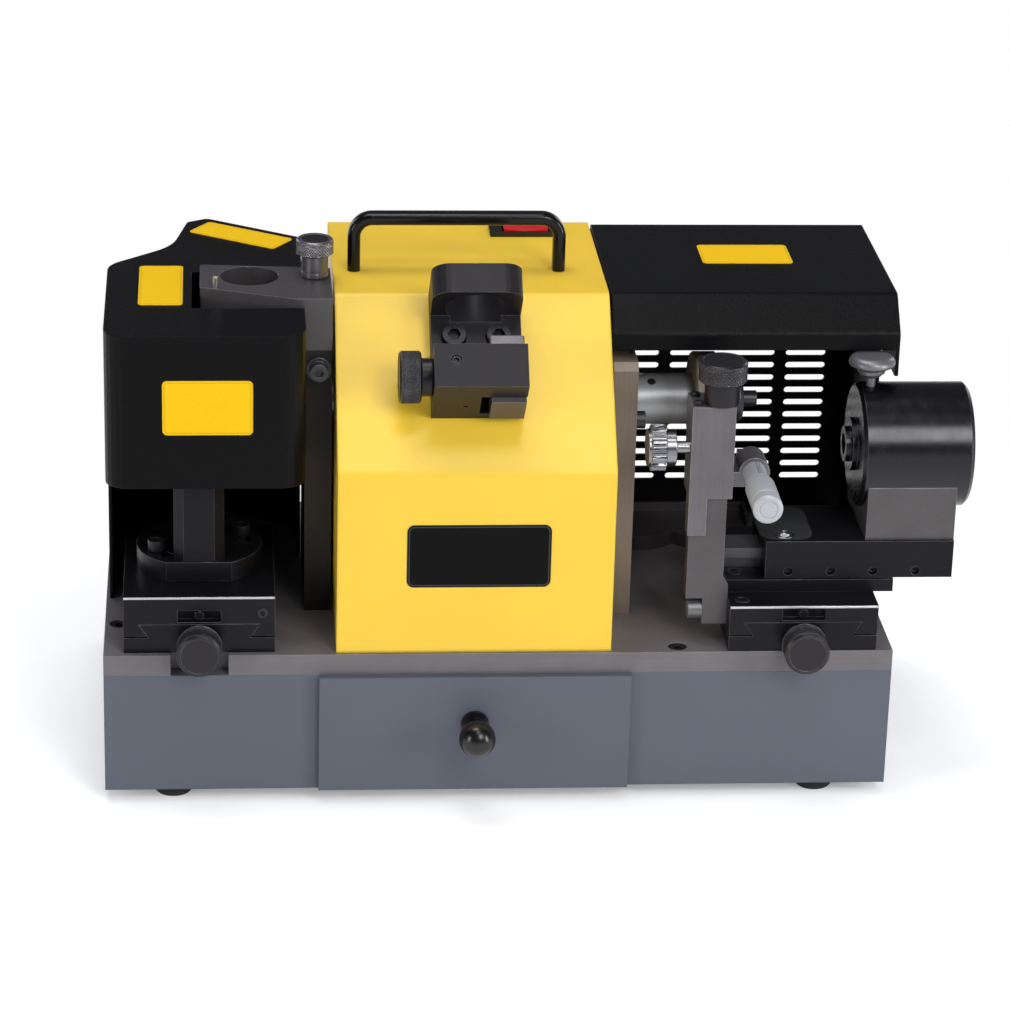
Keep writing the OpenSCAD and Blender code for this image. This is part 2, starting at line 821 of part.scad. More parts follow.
// Standard head diameter of a cap screw of thread d
function screw_head(d) = 1.5 * d + 1;

function unit(v) = v / norm(v);

// Arc of radius r that rounds the corner b between a and c
function corner_arc(a, b, c, r, steps) =
    let (u = unit(a - b), w = unit(c - b))
    let (half = acos(u * w) / 2)
    let (centre = b + unit(u + w) * r / sin(half))
    let (p = b + u * r / tan(half) - centre, q = b + w * r / tan(half) - centre)
    let (start = atan2(p[1], p[0]), turn = atan2(q[1], q[0]) - start)
    let (sweep = turn > 180 ? turn - 360 : turn < -180 ? turn + 360 : turn)
    [for (i = [0 : steps]) centre + r * [cos(start + sweep * i / steps), sin(start + sweep * i / steps)]];

// Outline with each corner rounded by its own radius, 0 for a sharp one
function rounded(points, radii, steps = 6) =
    let (n = len(points))
    [for (i = [0 : n - 1])
        each radii[i] > 0
            ? corner_arc(points[(i + n - 1) % n], points[i], points[(i + 1) % n], radii[i], steps)
            : [points[i]]];

// Counter-clockwise outline moved inwards by d
function inset(points, d) =
    let (n = len(points))
    [for (i = [0 : n - 1])
        let (e = unit(points[i] - points[(i + n - 1) % n]), f = unit(points[(i + 1) % n] - points[i]))
        points[i] + [-e[1] - f[1], e[0] + f[0]] * d / (1 + e * f)];

// Rectangle outline between two corners
function box_outline(a, b) = [a, [b[0], a[1]], b, [a[0], b[1]]];

module placed() {
    translate([-(part_x0 + part_x1) / 2, -(part_y0 + part_y1) / 2, -floor_z]) children();
}

module block(from, to) {
    translate(from) cube(to - from);
}

// Profile in y and z carried along x
module along_x(x0, x1) {
    translate([x0, 0, 0]) rotate([90, 0, 90]) linear_extrude(height = x1 - x0) children();
}

// Profile in x and z carried along y
module along_y(y0, y1) {
    translate([0, y1, 0]) rotate([90, 0, 0]) linear_extrude(height = y1 - y0) children();
}

// Outline in x and y carried up z
module along_z(z0, z1) {
    translate([0, 0, z0]) linear_extrude(height = z1 - z0) children();
}

module rod_x(d, x0, x1, y, z) {
    translate([x0, y, z]) rotate([0, 90, 0]) cylinder(d = d, h = x1 - x0);
}

module rod_y(d, y0, y1, x, z) {
    translate([x, y0, z]) rotate([-90, 0, 0]) cylinder(d = d, h = y1 - y0);
}

module rod_z(d, z0, z1, x, y) {
    translate([x, y, z0]) cylinder(d = d, h = z1 - z0);
}

// Turned drum on z = 0 with broken edges
module drum(d, h, edge = 0.8) {
    rotate_extrude() polygon([
        [0, 0], [d / 2 - edge, 0], [d / 2, edge], [d / 2, h - edge], [d / 2 - edge, h], [0, h]
    ]);
}

// Cap screw with its head on z = 0 and its shank below
module cap_screw(d, shank) {
    socket_d = 0.92 * d;
    difference() {
        union() {
            cylinder(d = screw_head(d), h = d);
            translate([0, 0, -shank]) cylinder(d = d, h = shank + 1);
        }
        translate([0, 0, d / 2]) cylinder(d = socket_d, h = d, $fn = 6);
    }
}

// Local frame of the hood's slope: x along the hood, y up the slope, z out of it
module on_slope() {
    translate([0, hood_front, hood_knee]) rotate([slope_angle, 0, 0]) children();
}

module cabinet() {
    inner = cabinet_wall;
    color("slategray") difference() {
        block([-base_w / 2, 0, cabinet_bottom], [base_w / 2, base_d, cabinet_top]);
        block(
            [-base_w / 2 + inner, inner, cabinet_bottom + inner],
            [base_w / 2 - inner, base_d - inner, cabinet_top - inner]
        );
        block(
            [-base_w / 2 + cabinet_lip, cabinet_lip, cabinet_top - inner - 1],
            [base_w / 2 - cabinet_lip, base_d - cabinet_lip, cabinet_top + 1]
        );
        block(
            [drawer_x - drawer_box_w / 2 - drawer_mouth_side, -1, drawer_z0 - drawer_mouth_foot],
            [
                drawer_x + drawer_box_w / 2 + drawer_mouth_side, inner + 1,
                drawer_z0 + drawer_box_h + drawer_mouth_side
            ]
        );
        for (p = plate_screws_at)
            rod_z(plate_screw_d + 2 * bolt_gap, cabinet_top - inner - 1, cabinet_top + 1, p[0], p[1]);
        rod_y(gland_hole_d + 2 * seat_gap, base_d - inner - 1, base_d + 1, gland_x, gland_z);
    }
}

module base_plate() {
    head = screw_head(plate_screw_d);
    color("dimgray") difference() {
        block([-base_w / 2, 0, -plate_t], [base_w / 2, base_d, 0]);
        block(
            [left_slide_x - notch_w / 2, -1, -plate_t - 1],
            [left_slide_x + notch_w / 2, notch_d, 1]
        );
        for (p = plate_screws_at) {
            rod_z(plate_screw_d + 2 * bolt_gap, -plate_t - 1, 1, p[0], p[1]);
            rod_z(head + plate_head_gap, plate_screw_seat, 1, p[0], p[1]);
        }
    }
}

module feet() {
    color("black")
        for (x = [-1, 1], y = [foot_inset_y, base_d - foot_inset_y])
            translate([x * (base_w / 2 - foot_inset_x), y, floor_z]) drum(foot_d, foot_h, 1);
}

module plate_screws() {
    color("dimgray")
        for (p = plate_screws_at)
            translate([p[0], p[1], plate_screw_seat])
                cap_screw(plate_screw_d, plate_t + plate_screw_seat + cabinet_wall);
}

module drawer_runners() {
    z0 = cabinet_bottom + cabinet_wall;
    inner = drawer_box_w / 2 - runner_ledge;
    guide = drawer_box_w / 2 + slide_gap;
    color("lightgray")
        for (s = [-1, 1])
            translate([drawer_x, 0, 0]) mirror([s < 0 ? 1 : 0, 0, 0]) along_y(cabinet_wall, drawer_back)
                polygon([
                    [inner, z0], [guide + runner_wall, z0], [guide + runner_wall, z0 + runner_h],
                    [guide, z0 + runner_h], [guide, z0 + runner_t], [inner, z0 + runner_t]
                ]);
}

module cable_gland() {
    color("black") difference() {
        union() {
            rod_y(gland_hole_d, base_d - cabinet_wall, base_d + 1, gland_x, gland_z);
            translate([gland_x, base_d, gland_z]) rotate([-90, 0, 0])
                cylinder(d = gland_d, h = gland_l / 2, $fn = 6);
            rod_y(gland_cap_d, base_d + gland_l / 2, base_d + gland_l, gland_x, gland_z);
        }
        rod_y(gland_hole_d / 2, base_d - cabinet_wall - 1, base_d + gland_l + 1, gland_x, gland_z);
    }
}

module hood() {
    color("gold") difference() {
        along_x(hood_x0, hood_x1) polygon(rounded(hood_outline, hood_bends));
        along_x(hood_x0 + sheet_t, hood_x1 - sheet_t)
            polygon(rounded(inset(hood_outline, sheet_t), [for (r = hood_bends) max(r - sheet_t, 0)]));
        block(
            [hood_x0 + sheet_t, hood_front + sheet_t, -1],
            [hood_x1 - sheet_t, hood_back - sheet_t, 2 * sheet_t]
        );
        rod_x(2 * hood_slot_r, hood_x0 - 1, hood_x1 + 1, spindle_y, spindle_z);
        block(
            [hood_x0 - 1, spindle_y - hood_slot_r, -1],
            [hood_x1 + 1, spindle_y + hood_slot_r, spindle_z]
        );
        block(
            [switch_x - switch_l / 2 + switch_rim, switch_y - switch_d / 2 + switch_rim, hood_h - sheet_t - 1],
            [switch_x + switch_l / 2 - switch_rim, switch_y + switch_d / 2 - switch_rim, hood_h + 1]
        );
        on_slope() translate([setter_x, 0, 0])
            for (s = [-1, 1])
                rod_z(setter_screw_d + 2 * bolt_gap, -sheet_t - 1, 1, s * setter_screw_gap / 2, setter_screw_v);
    }
}

module casting_left() {
    color("dimgray") difference() {
        block(
            [left_face, casting_left_y, 0],
            [left_inner, casting_left_y + casting_left_w, casting_left_top]
        );
        rod_x(bearing_od + 2 * seat_gap, left_face - 1, left_inner + 1, spindle_y, spindle_z);
        rod_z(clamp_d + 2 * bolt_gap, clamp_foot, ring_top, clamp_x, ring_y);
        rod_y(
            casting_screw_d + 2 * seat_gap, casting_left_y - 1, casting_left_y + casting_screw_l + 1,
            left_face + casting_left_t / 2, front_screw_z
        );
    }
}

// Middles of the bearing cap screws, in y and z
cap_screws_at = [for (a = [60 : 120 : 300]) [
    spindle_y + cap_screw_pcd / 2 * cos(a), spindle_z + cap_screw_pcd / 2 * sin(a)
]];

module casting_right() {
    edge = 4;
    y1 = casting_right_y + casting_right_w;
    color("dimgray") difference() {
        along_x(right_inner, right_face) polygon([
            [casting_right_y, 0], [y1, 0], [y1, casting_right_top - edge], [y1 - edge, casting_right_top],
            [casting_right_y + edge, casting_right_top], [casting_right_y, casting_right_top - edge]
        ]);
        rod_x(bearing_od + 2 * seat_gap, right_inner - 1, right_face + 1, spindle_y, spindle_z);
        for (p = cap_screws_at)
            rod_x(casting_screw_d + 2 * seat_gap, right_face - casting_screw_l - 1, right_face + 1, p[0], p[1]);
    }
}

module casting_screws() {
    color("dimgray") {
        for (p = cap_screws_at)
            translate([right_face, p[0], p[1]]) rotate([0, 90, 0]) cap_screw(casting_screw_d, casting_screw_l);
        translate([left_face + casting_left_t / 2, casting_left_y, front_screw_z]) rotate([90, 0, 0]) {
            cylinder(d = washer_d, h = washer_t);
            translate([0, 0, washer_t]) cap_screw(casting_screw_d, casting_screw_l);
        }
    }
}

module motor_housing() {
    color("gray") difference() {
        union() {
            rod_x(motor_d, motor_x0, motor_x0 + motor_l, spindle_y, spindle_z);
            block(
                [hood_x - pedestal_w / 2, spindle_y - pedestal_d / 2, 0],
                [hood_x + pedestal_w / 2, spindle_y + pedestal_d / 2, spindle_z]
            );
        }
        rod_x(motor_d - 2 * motor_wall, motor_x0 - 1, motor_x0 + motor_l + 1, spindle_y, spindle_z);
    }
}

module stator() {
    color("darkorange") difference() {
        rod_x(motor_d - 2 * motor_wall - 2 * seat_gap, stack_x0, stack_x0 + stack_l, spindle_y, spindle_z);
        rod_x(rotor_d + 2 * air_gap, stack_x0 - 1, stack_x0 + stack_l + 1, spindle_y, spindle_z);
    }
}

module bearings() {
    color("silver")
        for (x = [bearing_left_x, bearing_right_x])
            difference() {
                rod_x(bearing_od, x, x + bearing_w, spindle_y, spindle_z);
                rod_x(spindle_d + 2 * run_gap, x - 1, x + bearing_w + 1, spindle_y, spindle_z);
            }
}

module left_guard() {
    opening_x0 = ring_end - ring_slot_gap;
    color("black") difference() {
        along_z(0, guard_h) polygon(rounded(guard_outline, guard_corners));
        along_z(-1, guard_h - sheet_t) polygon(rounded(inset(guard_outline, sheet_t), guard_inner_corners));
        block([guard_x0 - 1, guard_front - 1, -1], [guard_x1 + 1, guard_skirt, guard_mouth]);
        block(
            [guard_x1 - 2 * sheet_t, casting_left_y, -1],
            [guard_x1 + 1, casting_left_y + casting_left_w, casting_left_top]
        );
        block(
            [opening_x0, casting_left_y - ring_slot_front, casting_left_top - 1],
            [guard_x1 + 1, ring_y + ring_back + ring_slot_back, guard_h + 1]
        );
    }
}

module ring_bracket() {
    color("gray") difference() {
        union() {
            along_z(ring_top - ring_t, ring_top) polygon(rounded(ring_outline, ring_corners));
            block(
                [left_face, casting_left_y, casting_left_top],
                [left_inner, ring_y + ring_foot_back, ring_top - ring_t + 1]
            );
        }
        rod_z(ring_bore_d, ring_top - ring_t - 1, ring_top + 1, ring_x, ring_y);
        rod_z(clamp_d + 2 * run_gap, casting_left_top - 1, ring_top + 1, clamp_x, ring_y);
    }
}

module ring_clamp_knob() {
    z0 = ring_top + slide_gap;
    head_z = z0 + clamp_h - clamp_head_h;
    color("silver") translate([clamp_x, ring_y, 0]) {
        rod_z(clamp_d, clamp_foot + clamp_tip_gap, z0 + 1, 0, 0);
        rod_z(clamp_neck_d, z0, head_z, 0, 0);
        translate([0, 0, head_z]) drum(clamp_head_d, clamp_head_h, 1);
    }
}

module right_hood() {
    color("black") difference() {
        along_x(shroud_x0, shroud_x1) polygon(rounded(shroud_outline, hood_bends));
        along_x(shroud_x0 - 1, shroud_x1 - sheet_t)
            polygon(rounded(inset(shroud_outline, sheet_t), [for (r = hood_bends) max(r - sheet_t, 0)]));
        block(
            [shroud_x0 - 1, shroud_lip + sheet_t, -1],
            [shroud_x1 - sheet_t, shroud_back - sheet_t, 2 * sheet_t]
        );
        block(
            [shroud_x0 - 1, shroud_lip - 1, -1],
            [shroud_x1 - sheet_t, shroud_lip + 2 * sheet_t, shroud_lip_z - shroud_edge]
        );
        block([shroud_x1 - 2 * sheet_t, shroud_lip - 1, -1], [shroud_x1 + 1, shroud_cut_y, shroud_cut_z]);
        for (i = [0 : vent_rows - 1], column = vent_columns)
            vent_slot(shroud_x0 + column[0], column[1], vent_z + i * vent_pitch);
    }
}

// Round-ended slot through the right hood's back
module vent_slot(x, length, z) {
    y0 = shroud_back - sheet_t - 1;
    y1 = shroud_back + 1;
    r = vent_h / 2;
    block([x + r, y0, z - r], [x + length - r, y1, z + r]);
    rod_y(vent_h, y0, y1, x + r, z);
    rod_y(vent_h, y0, y1, x + length - r, z);
}

// Two round lobes with a straight back
module tray_form(r, z0, z1, back) {
    for (x = tray_x)
        rod_z(2 * r, z0, z1, x, tray_y);
    block([tray_x[0] - r, tray_y, z0], [tray_x[1] + r, back, z1]);
    block([tray_x[0], tray_y - r / 2, z0], [tray_x[1], tray_y, z1]);
}

module dust_tray() {
    back = shroud_back - sheet_t - tray_back_gap;
    color("black") difference() {
        tray_form(tray_r, 0, tray_rim_h, back);
        tray_form(tray_r - tray_rim, tray_t, tray_rim_h + 1, back - tray_rim);
    }
}

module handle() {
    middle = hood_x + handle_dx;
    a = [middle - handle_span / 2 - handle_t / 2, hood_h];
    b = [middle + handle_span / 2 + handle_t / 2, hood_h + handle_h];
    leg = [handle_t, handle_t];
    color("black") along_y(handle_y - handle_d / 2, handle_y + handle_d / 2) difference() {
        polygon(rounded(box_outline(a, b), [0, 0, handle_r, handle_r]));
        polygon(rounded(
            box_outline(a + [handle_t, -1], b - leg),
            [0, 0, handle_r - handle_t, handle_r - handle_t]
        ));
    }
}

module switch_bezel() {
    size = [switch_l / 2, switch_d / 2, 0];
    centre = [switch_x, switch_y, hood_h];
    body = size - [switch_rim + seat_gap, switch_rim + seat_gap, 0];
    well = [rocker_l / 2 + rocker_gap, rocker_d / 2 + slide_gap, 0];
    color("black") difference() {
        union() {
            block(centre - size, centre + size + [0, 0, switch_lip]);
            block(centre - body - [0, 0, switch_body_h], centre + body + [0, 0, 1]);
        }
        block(centre - well + [0, 0, switch_lip - rocker_well], centre + well + [0, 0, switch_lip + 1]);
    }
}

module switch_rocker() {
    top = rocker_l / 2;
    foot = top - rocker_taper;
    color("red") translate([switch_x, 0, rocker_pivot_z])
        along_y(switch_y - rocker_d / 2, switch_y + rocker_d / 2) polygon([
            [-foot, -rocker_foot], [foot, -rocker_foot],
            [top, rocker_rise], [0, rocker_dip], [-top, rocker_rise]
        ]);
}

// Dovetail outline in x and z, grown by a gap
function dovetail(z0, z1, grow) =
    let (slant = dovetail_flare / dovetail_h, half = dovetail_neck / 2 + grow)
    let (low = half + slant * (z0 - slide_base_h), high = half + slant * (z1 - slide_base_h))
    [[-low, z0], [low, z0], [high, z1], [-high, z1]];

module slide_base(x, front) {
    color("black") translate([x, 0, 0]) difference() {
        along_y(front, front + slide_l) union() {
            polygon(box_outline([-slide_w / 2, 0], [slide_w / 2, slide_base_h]));
            polygon(dovetail(slide_base_h, dovetail_top, 0));
        }
        block(
            [-feed_channel / 2, front + feed_wall, -1],
            [feed_channel / 2, front + slide_l - feed_wall, dovetail_top + 1]
        );
        rod_y(feed_d + 2 * run_gap, front - 1, front + feed_wall + 1, 0, feed_z);
    }
}

module left_slide_base() {
    slide_base(left_slide_x, left_slide_front);
}

module right_slide_base() {
    slide_base(right_slide_x, right_slide_front);
}

module saddle(x, front, top) {
    color("black") translate([x, 0, 0]) difference() {
        block([-slide_w / 2, front, saddle_foot], [slide_w / 2, front + slide_l, top]);
        along_y(front - 1, front + slide_l + 1) polygon(dovetail(saddle_foot - 1, saddle_roof, slide_gap));
        difference() {
            block(
                [-saddle_pocket_w / 2, front - 1, saddle_pocket_z],
                [saddle_pocket_w / 2, front + saddle_pocket_d, saddle_pocket_z + saddle_pocket_h]
            );
            rod_y(pocket_stud_d, front + 1, front + slide_l / 2, 0, saddle_pocket_z + saddle_pocket_h / 2);
        }
    }
}

module left_saddle() {
    difference() {
        saddle(left_slide_x, left_slide_front, left_saddle_top);
        rod_z(
            swivel_pin_d + 2 * run_gap, left_saddle_top - swivel_pin_l - 1, left_saddle_top + 1,
            swivel_x, swivel_y
        );
        swivel_screw_holes(
            swivel_screw_d + 2 * seat_gap, left_saddle_top - swivel_screw_depth, left_saddle_top + 1
        );
    }
}

module right_saddle() {
    saddle(right_slide_x, right_slide_front, right_saddle_top);
}

module feed_screw(x, front) {
    knob_y1 = front - feed_neck_l;
    color("black") {
        rod_y(feed_d, knob_y1, front + slide_l - feed_wall - feed_end_gap, x, feed_z);
        rod_y(feed_collar_d, knob_y1 - 1, front - slide_gap, x, feed_z);
        translate([x, knob_y1, feed_z]) rotate([90, 0, 0]) drum(feed_knob_d, feed_knob_l, 1);
    }
}

module left_feed_screw() {
    feed_screw(left_slide_x, left_slide_front);
}

module right_feed_screw() {
    feed_screw(right_slide_x, right_slide_front);
}

module feed_nut(x, front) {
    half = feed_channel / 2 - nut_side_gap;
    middle = front + slide_l / 2;
    color("darkgoldenrod") difference() {
        block([x - half, middle - feed_nut_l / 2, nut_foot], [x + half, middle + feed_nut_l / 2, saddle_roof]);
        rod_y(feed_d + 2 * slide_gap, middle - feed_nut_l, middle + feed_nut_l, x, feed_z);
    }
}

module left_feed_nut() {
    feed_nut(left_slide_x, left_slide_front);
}

module right_feed_nut() {
    feed_nut(right_slide_x, right_slide_front);
}

module swivel_screw_holes(d, z0, z1) {
    for (a = swivel_screw_angles)
        rod_z(d, z0, z1, swivel_x + swivel_slot_r * cos(a), swivel_y + swivel_slot_r * sin(a));
}

module swivel_screws() {
    color("dimgray")
        for (a = swivel_screw_angles)
            translate([
                swivel_x + swivel_slot_r * cos(a), swivel_y + swivel_slot_r * sin(a), swivel_z1 + slide_gap
            ])
                cap_screw(swivel_screw_d, swivel_t + 2 * slide_gap + swivel_screw_depth);
}

module left_swivel_plate() {
    color("dimgray") difference() {
        union() {
            rod_z(2 * swivel_r, swivel_z0, swivel_z1, swivel_x, swivel_y);
            rod_z(swivel_pin_d, left_saddle_top - swivel_pin_l, swivel_z0 + 1, swivel_x, swivel_y);
        }
        block(
            [swivel_x - swivel_r, swivel_y - swivel_r - 1, swivel_z0 - 1],
            [swivel_x + swivel_r, swivel_y - swivel_flat, swivel_z1 + 1]
        );
        translate([swivel_x, swivel_y, swivel_z0 - 1])
            for (a = swivel_screw_angles)
                rotate([0, 0, a - swivel_slot_half]) rotate_extrude(angle = 2 * swivel_slot_half)
                    translate([swivel_slot_r - swivel_slot_w / 2, 0]) square([swivel_slot_w, swivel_t + 2]);
    }
}

module rest_post() {
    half = post_w / 2;
    face = post_face_w / 2;
    back = post_y0 + post_d;
    head_front = post_y0 + post_head_set;
    color("dimgray") translate([swivel_x, 0, 0]) {
        along_z(swivel_z1, swivel_z1 + post_h) polygon([
            [-face, post_y0], [face, post_y0], [half, post_y0 + post_chamfer], [half, back],
            [-half, back], [-half, post_y0 + post_chamfer]
        ]);
        along_z(swivel_z1 + post_h - 1, swivel_z1 + post_h + post_head_h)
            polygon(box_outline([-half, head_front], [half, back]));
    }
}

module cross_plate() {
    color("dimgray") block(
        [right_slide_x0, cross_y0, right_saddle_top],
        [right_slide_x0 + cross_w, cross_y0 + cross_d, cross_top]
    );
}

// Rail outline in y and z about the rail's middle, grown by a gap, on a foot at z
function rail_outline(grow, foot) =
    let (neck = rail_foot_half + grow, head = rail_half + grow)
    let (step = rail_step_z - grow, top = rail_top + grow)
    [
        [-neck, foot], [neck, foot], [neck, step], [head, step],
        [head, top], [-head, top], [-head, step], [-neck, step]
    ];

module cross_rail() {
    color("silver") translate([0, rail_y, 0])
        along_x(right_slide_x0, right_slide_x0 + cross_w) polygon(rail_outline(0, cross_top));
}

module carriage() {
    hole_z = (carriage_z0 + carriage_z1) / 2 - gib_hole_drop;
    hole_x0 = carriage_x0 + gib_hole_inset;
    color("dimgray") difference() {
        block([carriage_x0, cross_y0, carriage_z0], [carriage_x1, cross_y0 + carriage_d, carriage_z1]);
        translate([0, rail_y, 0])
            along_x(carriage_x0 - 1, carriage_x1 + 1) polygon(rail_outline(slide_gap, cross_top - 1));
        for (i = [0 : 3])
            rod_y(gib_hole_d, cross_y0 - 1, cross_y0 + gib_hole_depth, hole_x0 + i * gib_hole_gap, hole_z);
    }
}

module cradle_block() {
    color("gray") difference() {
        block(
            [cradle_x0, cradle_y0, carriage_z1],
            [carriage_x1, cradle_y0 + cradle_d, carriage_z1 + cradle_h]
        );
        rod_x(sleeve_d + 2 * seat_gap, cradle_x0 - 1, carriage_x1 + 1, sleeve_y, sleeve_z);
    }
}

module sleeve() {
    edge = 2;
    color("dimgray") difference() {
        translate([sleeve_x0, sleeve_y, sleeve_z]) rotate([0, 90, 0]) drum(sleeve_d, sleeve_l, edge);
        rod_x(sleeve_bore_d, sleeve_x0 - 1, sleeve_x1 + 1, sleeve_y, sleeve_z);
        rod_z(pin_d + 2 * run_gap, sleeve_z, sleeve_z + sleeve_d, pin_x, sleeve_y);
    }
}

module collet_chuck() {
    color("dimgray") difference() {
        union() {
            rod_x(chuck_d, sleeve_x0, chuck_x1, sleeve_y, sleeve_z);
            rod_x(nose_d, chuck_x0 + nose_l / 2, sleeve_x0 + 1, sleeve_y, sleeve_z);
            rod_x(nose_tip_d, chuck_x0, sleeve_x0 + 1, sleeve_y, sleeve_z);
        }
        rod_x(chuck_bore_d, chuck_x0 - 1, chuck_x1 + 1, sleeve_y, sleeve_z);
        translate([pin_x, sleeve_y, sleeve_z])
            for (i = [0 : notches - 1])
                rotate([i * 360 / notches, 0, 0])
                    rod_z(pin_d + 2 * slide_gap, chuck_d / 2 - notch_depth, chuck_d / 2 + 1, 0, 0);
    }
}

module index_pin() {
    head_z = pin_stem_z + pin_stem_h;
    edge = 2.2;
    color("silver") translate([pin_x, sleeve_y, 0]) {
        rod_z(pin_d, pin_foot, head_z, 0, 0);
        rod_z(pin_stem_d, pin_stem_z, head_z, 0, 0);
        translate([0, 0, head_z]) drum(pin_head_d, pin_head_h, edge);
    }
}

module stand_plate() {
    color("gray") difference() {
        union() {
            block([rest_x0 + stand_left, stand_y0, stand_step], [stand_x1, stand_y1, stand_low]);
            along_y(stand_y0, stand_y1) polygon(stand_foot_outline);
            block([stand_split, stand_y0, stand_step], [stand_x1, stand_y1, stand_column]);
            block([tongue_x0, stand_y1, tongue_foot], [tongue_x0 + tongue_w, stand_y1 + stand_d, tongue_top]);
        }
        rod_z(height_screw_d + 2 * slide_gap, height_hole_foot, stand_column + 1, height_x, height_y);
    }
}

module rest_block() {
    color("silver") difference() {
        union() {
            block([rest_x0, rest_y0, rest_bottom], [rest_x1, rest_y1, rest_top]);
            block(
                [rest_x0, rest_y0, rest_leg],
                [stand_split - slide_gap, stand_y1 - slide_gap, rest_bottom + 1]
            );
            rod_y(lug_d, lug_y0, lug_y1, mic_x, mic_z);
            block([rest_x1 - 1, lug_y0, mic_z - lug_d / 2], [mic_x, lug_y1, mic_z]);
        }
        block(
            [tongue_x0 - slide_gap, stand_y1 - slide_gap, rest_bottom - 1],
            [tongue_x0 + tongue_w + slide_gap, rest_y1 + 1, rest_top - rest_roof]
        );
        rod_z(height_screw_d + 2 * run_gap, rest_bottom - 1, rest_top + 1, height_x, height_y);
        rod_y(barrel_d + 2 * seat_gap, lug_y0 - 1, lug_y1 + 1, mic_x, mic_z);
        rod_x(lock_stem_d + 2 * run_gap, rest_x0 - 1, rest_x0 + lock_seat + lock_seat_gap, lock_y, lock_z);
    }
}

module height_knob() {
    z0 = rest_top + slide_gap;
    color("silver") translate([height_x, height_y, 0]) {
        rod_z(height_screw_d, height_screw_foot, z0 + 1, 0, 0);
        rod_z(height_neck_d, z0, z0 + height_neck_l, 0, 0);
        translate([0, 0, z0 + height_neck_l]) drum(height_knob_d, height_knob_h, 1);
    }
}

module micrometer_barrel() {
    color("silver") difference() {
        rod_y(barrel_d, barrel_y0, barrel_y1, mic_x, mic_z);
        rod_y(mic_spindle_d + 2 * run_gap, barrel_y0 - 1, barrel_y1 + 1, mic_x, mic_z);
    }
}

module micrometer_thimble() {
    color("silver") difference() {
        translate([mic_x, thimble_y1, mic_z]) rotate([90, 0, 0]) drum(thimble_d, thimble_l, 1);
        rod_y(barrel_d + 2 * run_gap, barrel_y0 - 1, thimble_y1 + 1, mic_x, mic_z);
    }
}

module tooth_rest() {
    z0 = mic_z - finger_h + finger_drop;
    blade_y0 = finger_y0 + finger_blade_set;
    color("silver") {
        rod_y(mic_spindle_d, barrel_y0 + mic_travel + 1, finger_y0 + 1, mic_x, mic_z);
        block(
            [mic_x - finger_w / 2, finger_y0, z0],
            [mic_x + finger_w / 2, finger_y0 + finger_t, z0 + finger_h]
        );
        block(
            [mic_x - finger_w / 2 - finger_blade_l, blade_y0, z0],
            [mic_x, blade_y0 + finger_blade_t, z0 + finger_h - finger_blade_drop]
        );
    }
}

module lock_knob() {
    x1 = rest_x0 - lock_stem_l;
    x0 = x1 - lock_knob_l;
    color("silver") {
        rod_x(lock_stem_d, x1 - 1, rest_x0 + lock_seat, lock_y, lock_z);
        difference() {
            rod_x(lock_knob_d, x0, x0 + lock_flute_l, lock_y, lock_z);
            for (a = [0 : 360 / flutes : 359])
                rod_x(
                    lock_flute_d, x0 - 1, x0 + lock_flute_l + 1,
                    lock_y + lock_knob_d / 2 * cos(a), lock_z + lock_knob_d / 2 * sin(a)
                );
        }
        rod_x(lock_hub_d, x0 + lock_flute_l - 1, x1, lock_y, lock_z);
        rod_x(lock_cap_d, x0 - lock_cap_l, x0 + 1, lock_y, lock_z);
    }
}

module spindle() {
    color("silver") {
        rod_x(spindle_d, spindle_x0, spindle_x1, spindle_y, spindle_z);
        rod_x(shoulder_d, cup_x1, left_face - spindle_clear, spindle_y, spindle_z);
    }
}

module rotor_core() {
    color("gray") difference() {
        rod_x(rotor_d, stack_x0, stack_x0 + stack_l, spindle_y, spindle_z);
        rod_x(spindle_d + 2 * seat_gap, stack_x0 - 1, stack_x0 + stack_l + 1, spindle_y, spindle_z);
    }
}

module left_wheel() {
    color("tan") difference() {
        translate([cup_x0, spindle_y, spindle_z]) rotate([0, 90, 0]) drum(cup_d, cup_l, 1);
        rod_x(cup_d - 2 * cup_wall, cup_x0 - 1, cup_x1 - cup_wall, spindle_y, spindle_z);
        rod_x(spindle_d + 2 * seat_gap, cup_x0 - 1, cup_x1 + 1, spindle_y, spindle_z);
    }
}

module left_wheel_nut() {
    x1 = cup_x1 - cup_wall;
    color("silver") difference() {
        translate([x1 - cup_nut_l, spindle_y, spindle_z]) rotate([0, 90, 0])
            cylinder(d = cup_nut_d, h = cup_nut_l, $fn = 6);
        rod_x(spindle_d + 2 * seat_gap, x1 - cup_nut_l - 1, x1 + 1, spindle_y, spindle_z);
    }
}

module arbor() {
    color("silver") difference() {
        union() {
            rod_x(arbor_d, arbor_x0, wheel_x0, spindle_y, spindle_z);
            rod_x(wheel_seat_d, wheel_x0 - 1, seat_x1, spindle_y, spindle_z);
        }
        rod_x(spindle_d + 2 * seat_gap, arbor_x0 - 1, spindle_x1 + 0.5, spindle_y, spindle_z);
        rod_z(set_screw_d, spindle_z + spindle_d / 2, spindle_z + arbor_d, set_screw_x, spindle_y);
    }
}

module right_wheel() {
    color("tan") difference() {
        translate([wheel_x0, spindle_y, spindle_z]) rotate([0, 90, 0]) drum(wheel_d, wheel_t, 1);
        rod_x(wheel_seat_d + 2 * seat_gap, wheel_x0 - 1, wheel_x0 + wheel_t + 1, spindle_y, spindle_z);
    }
}

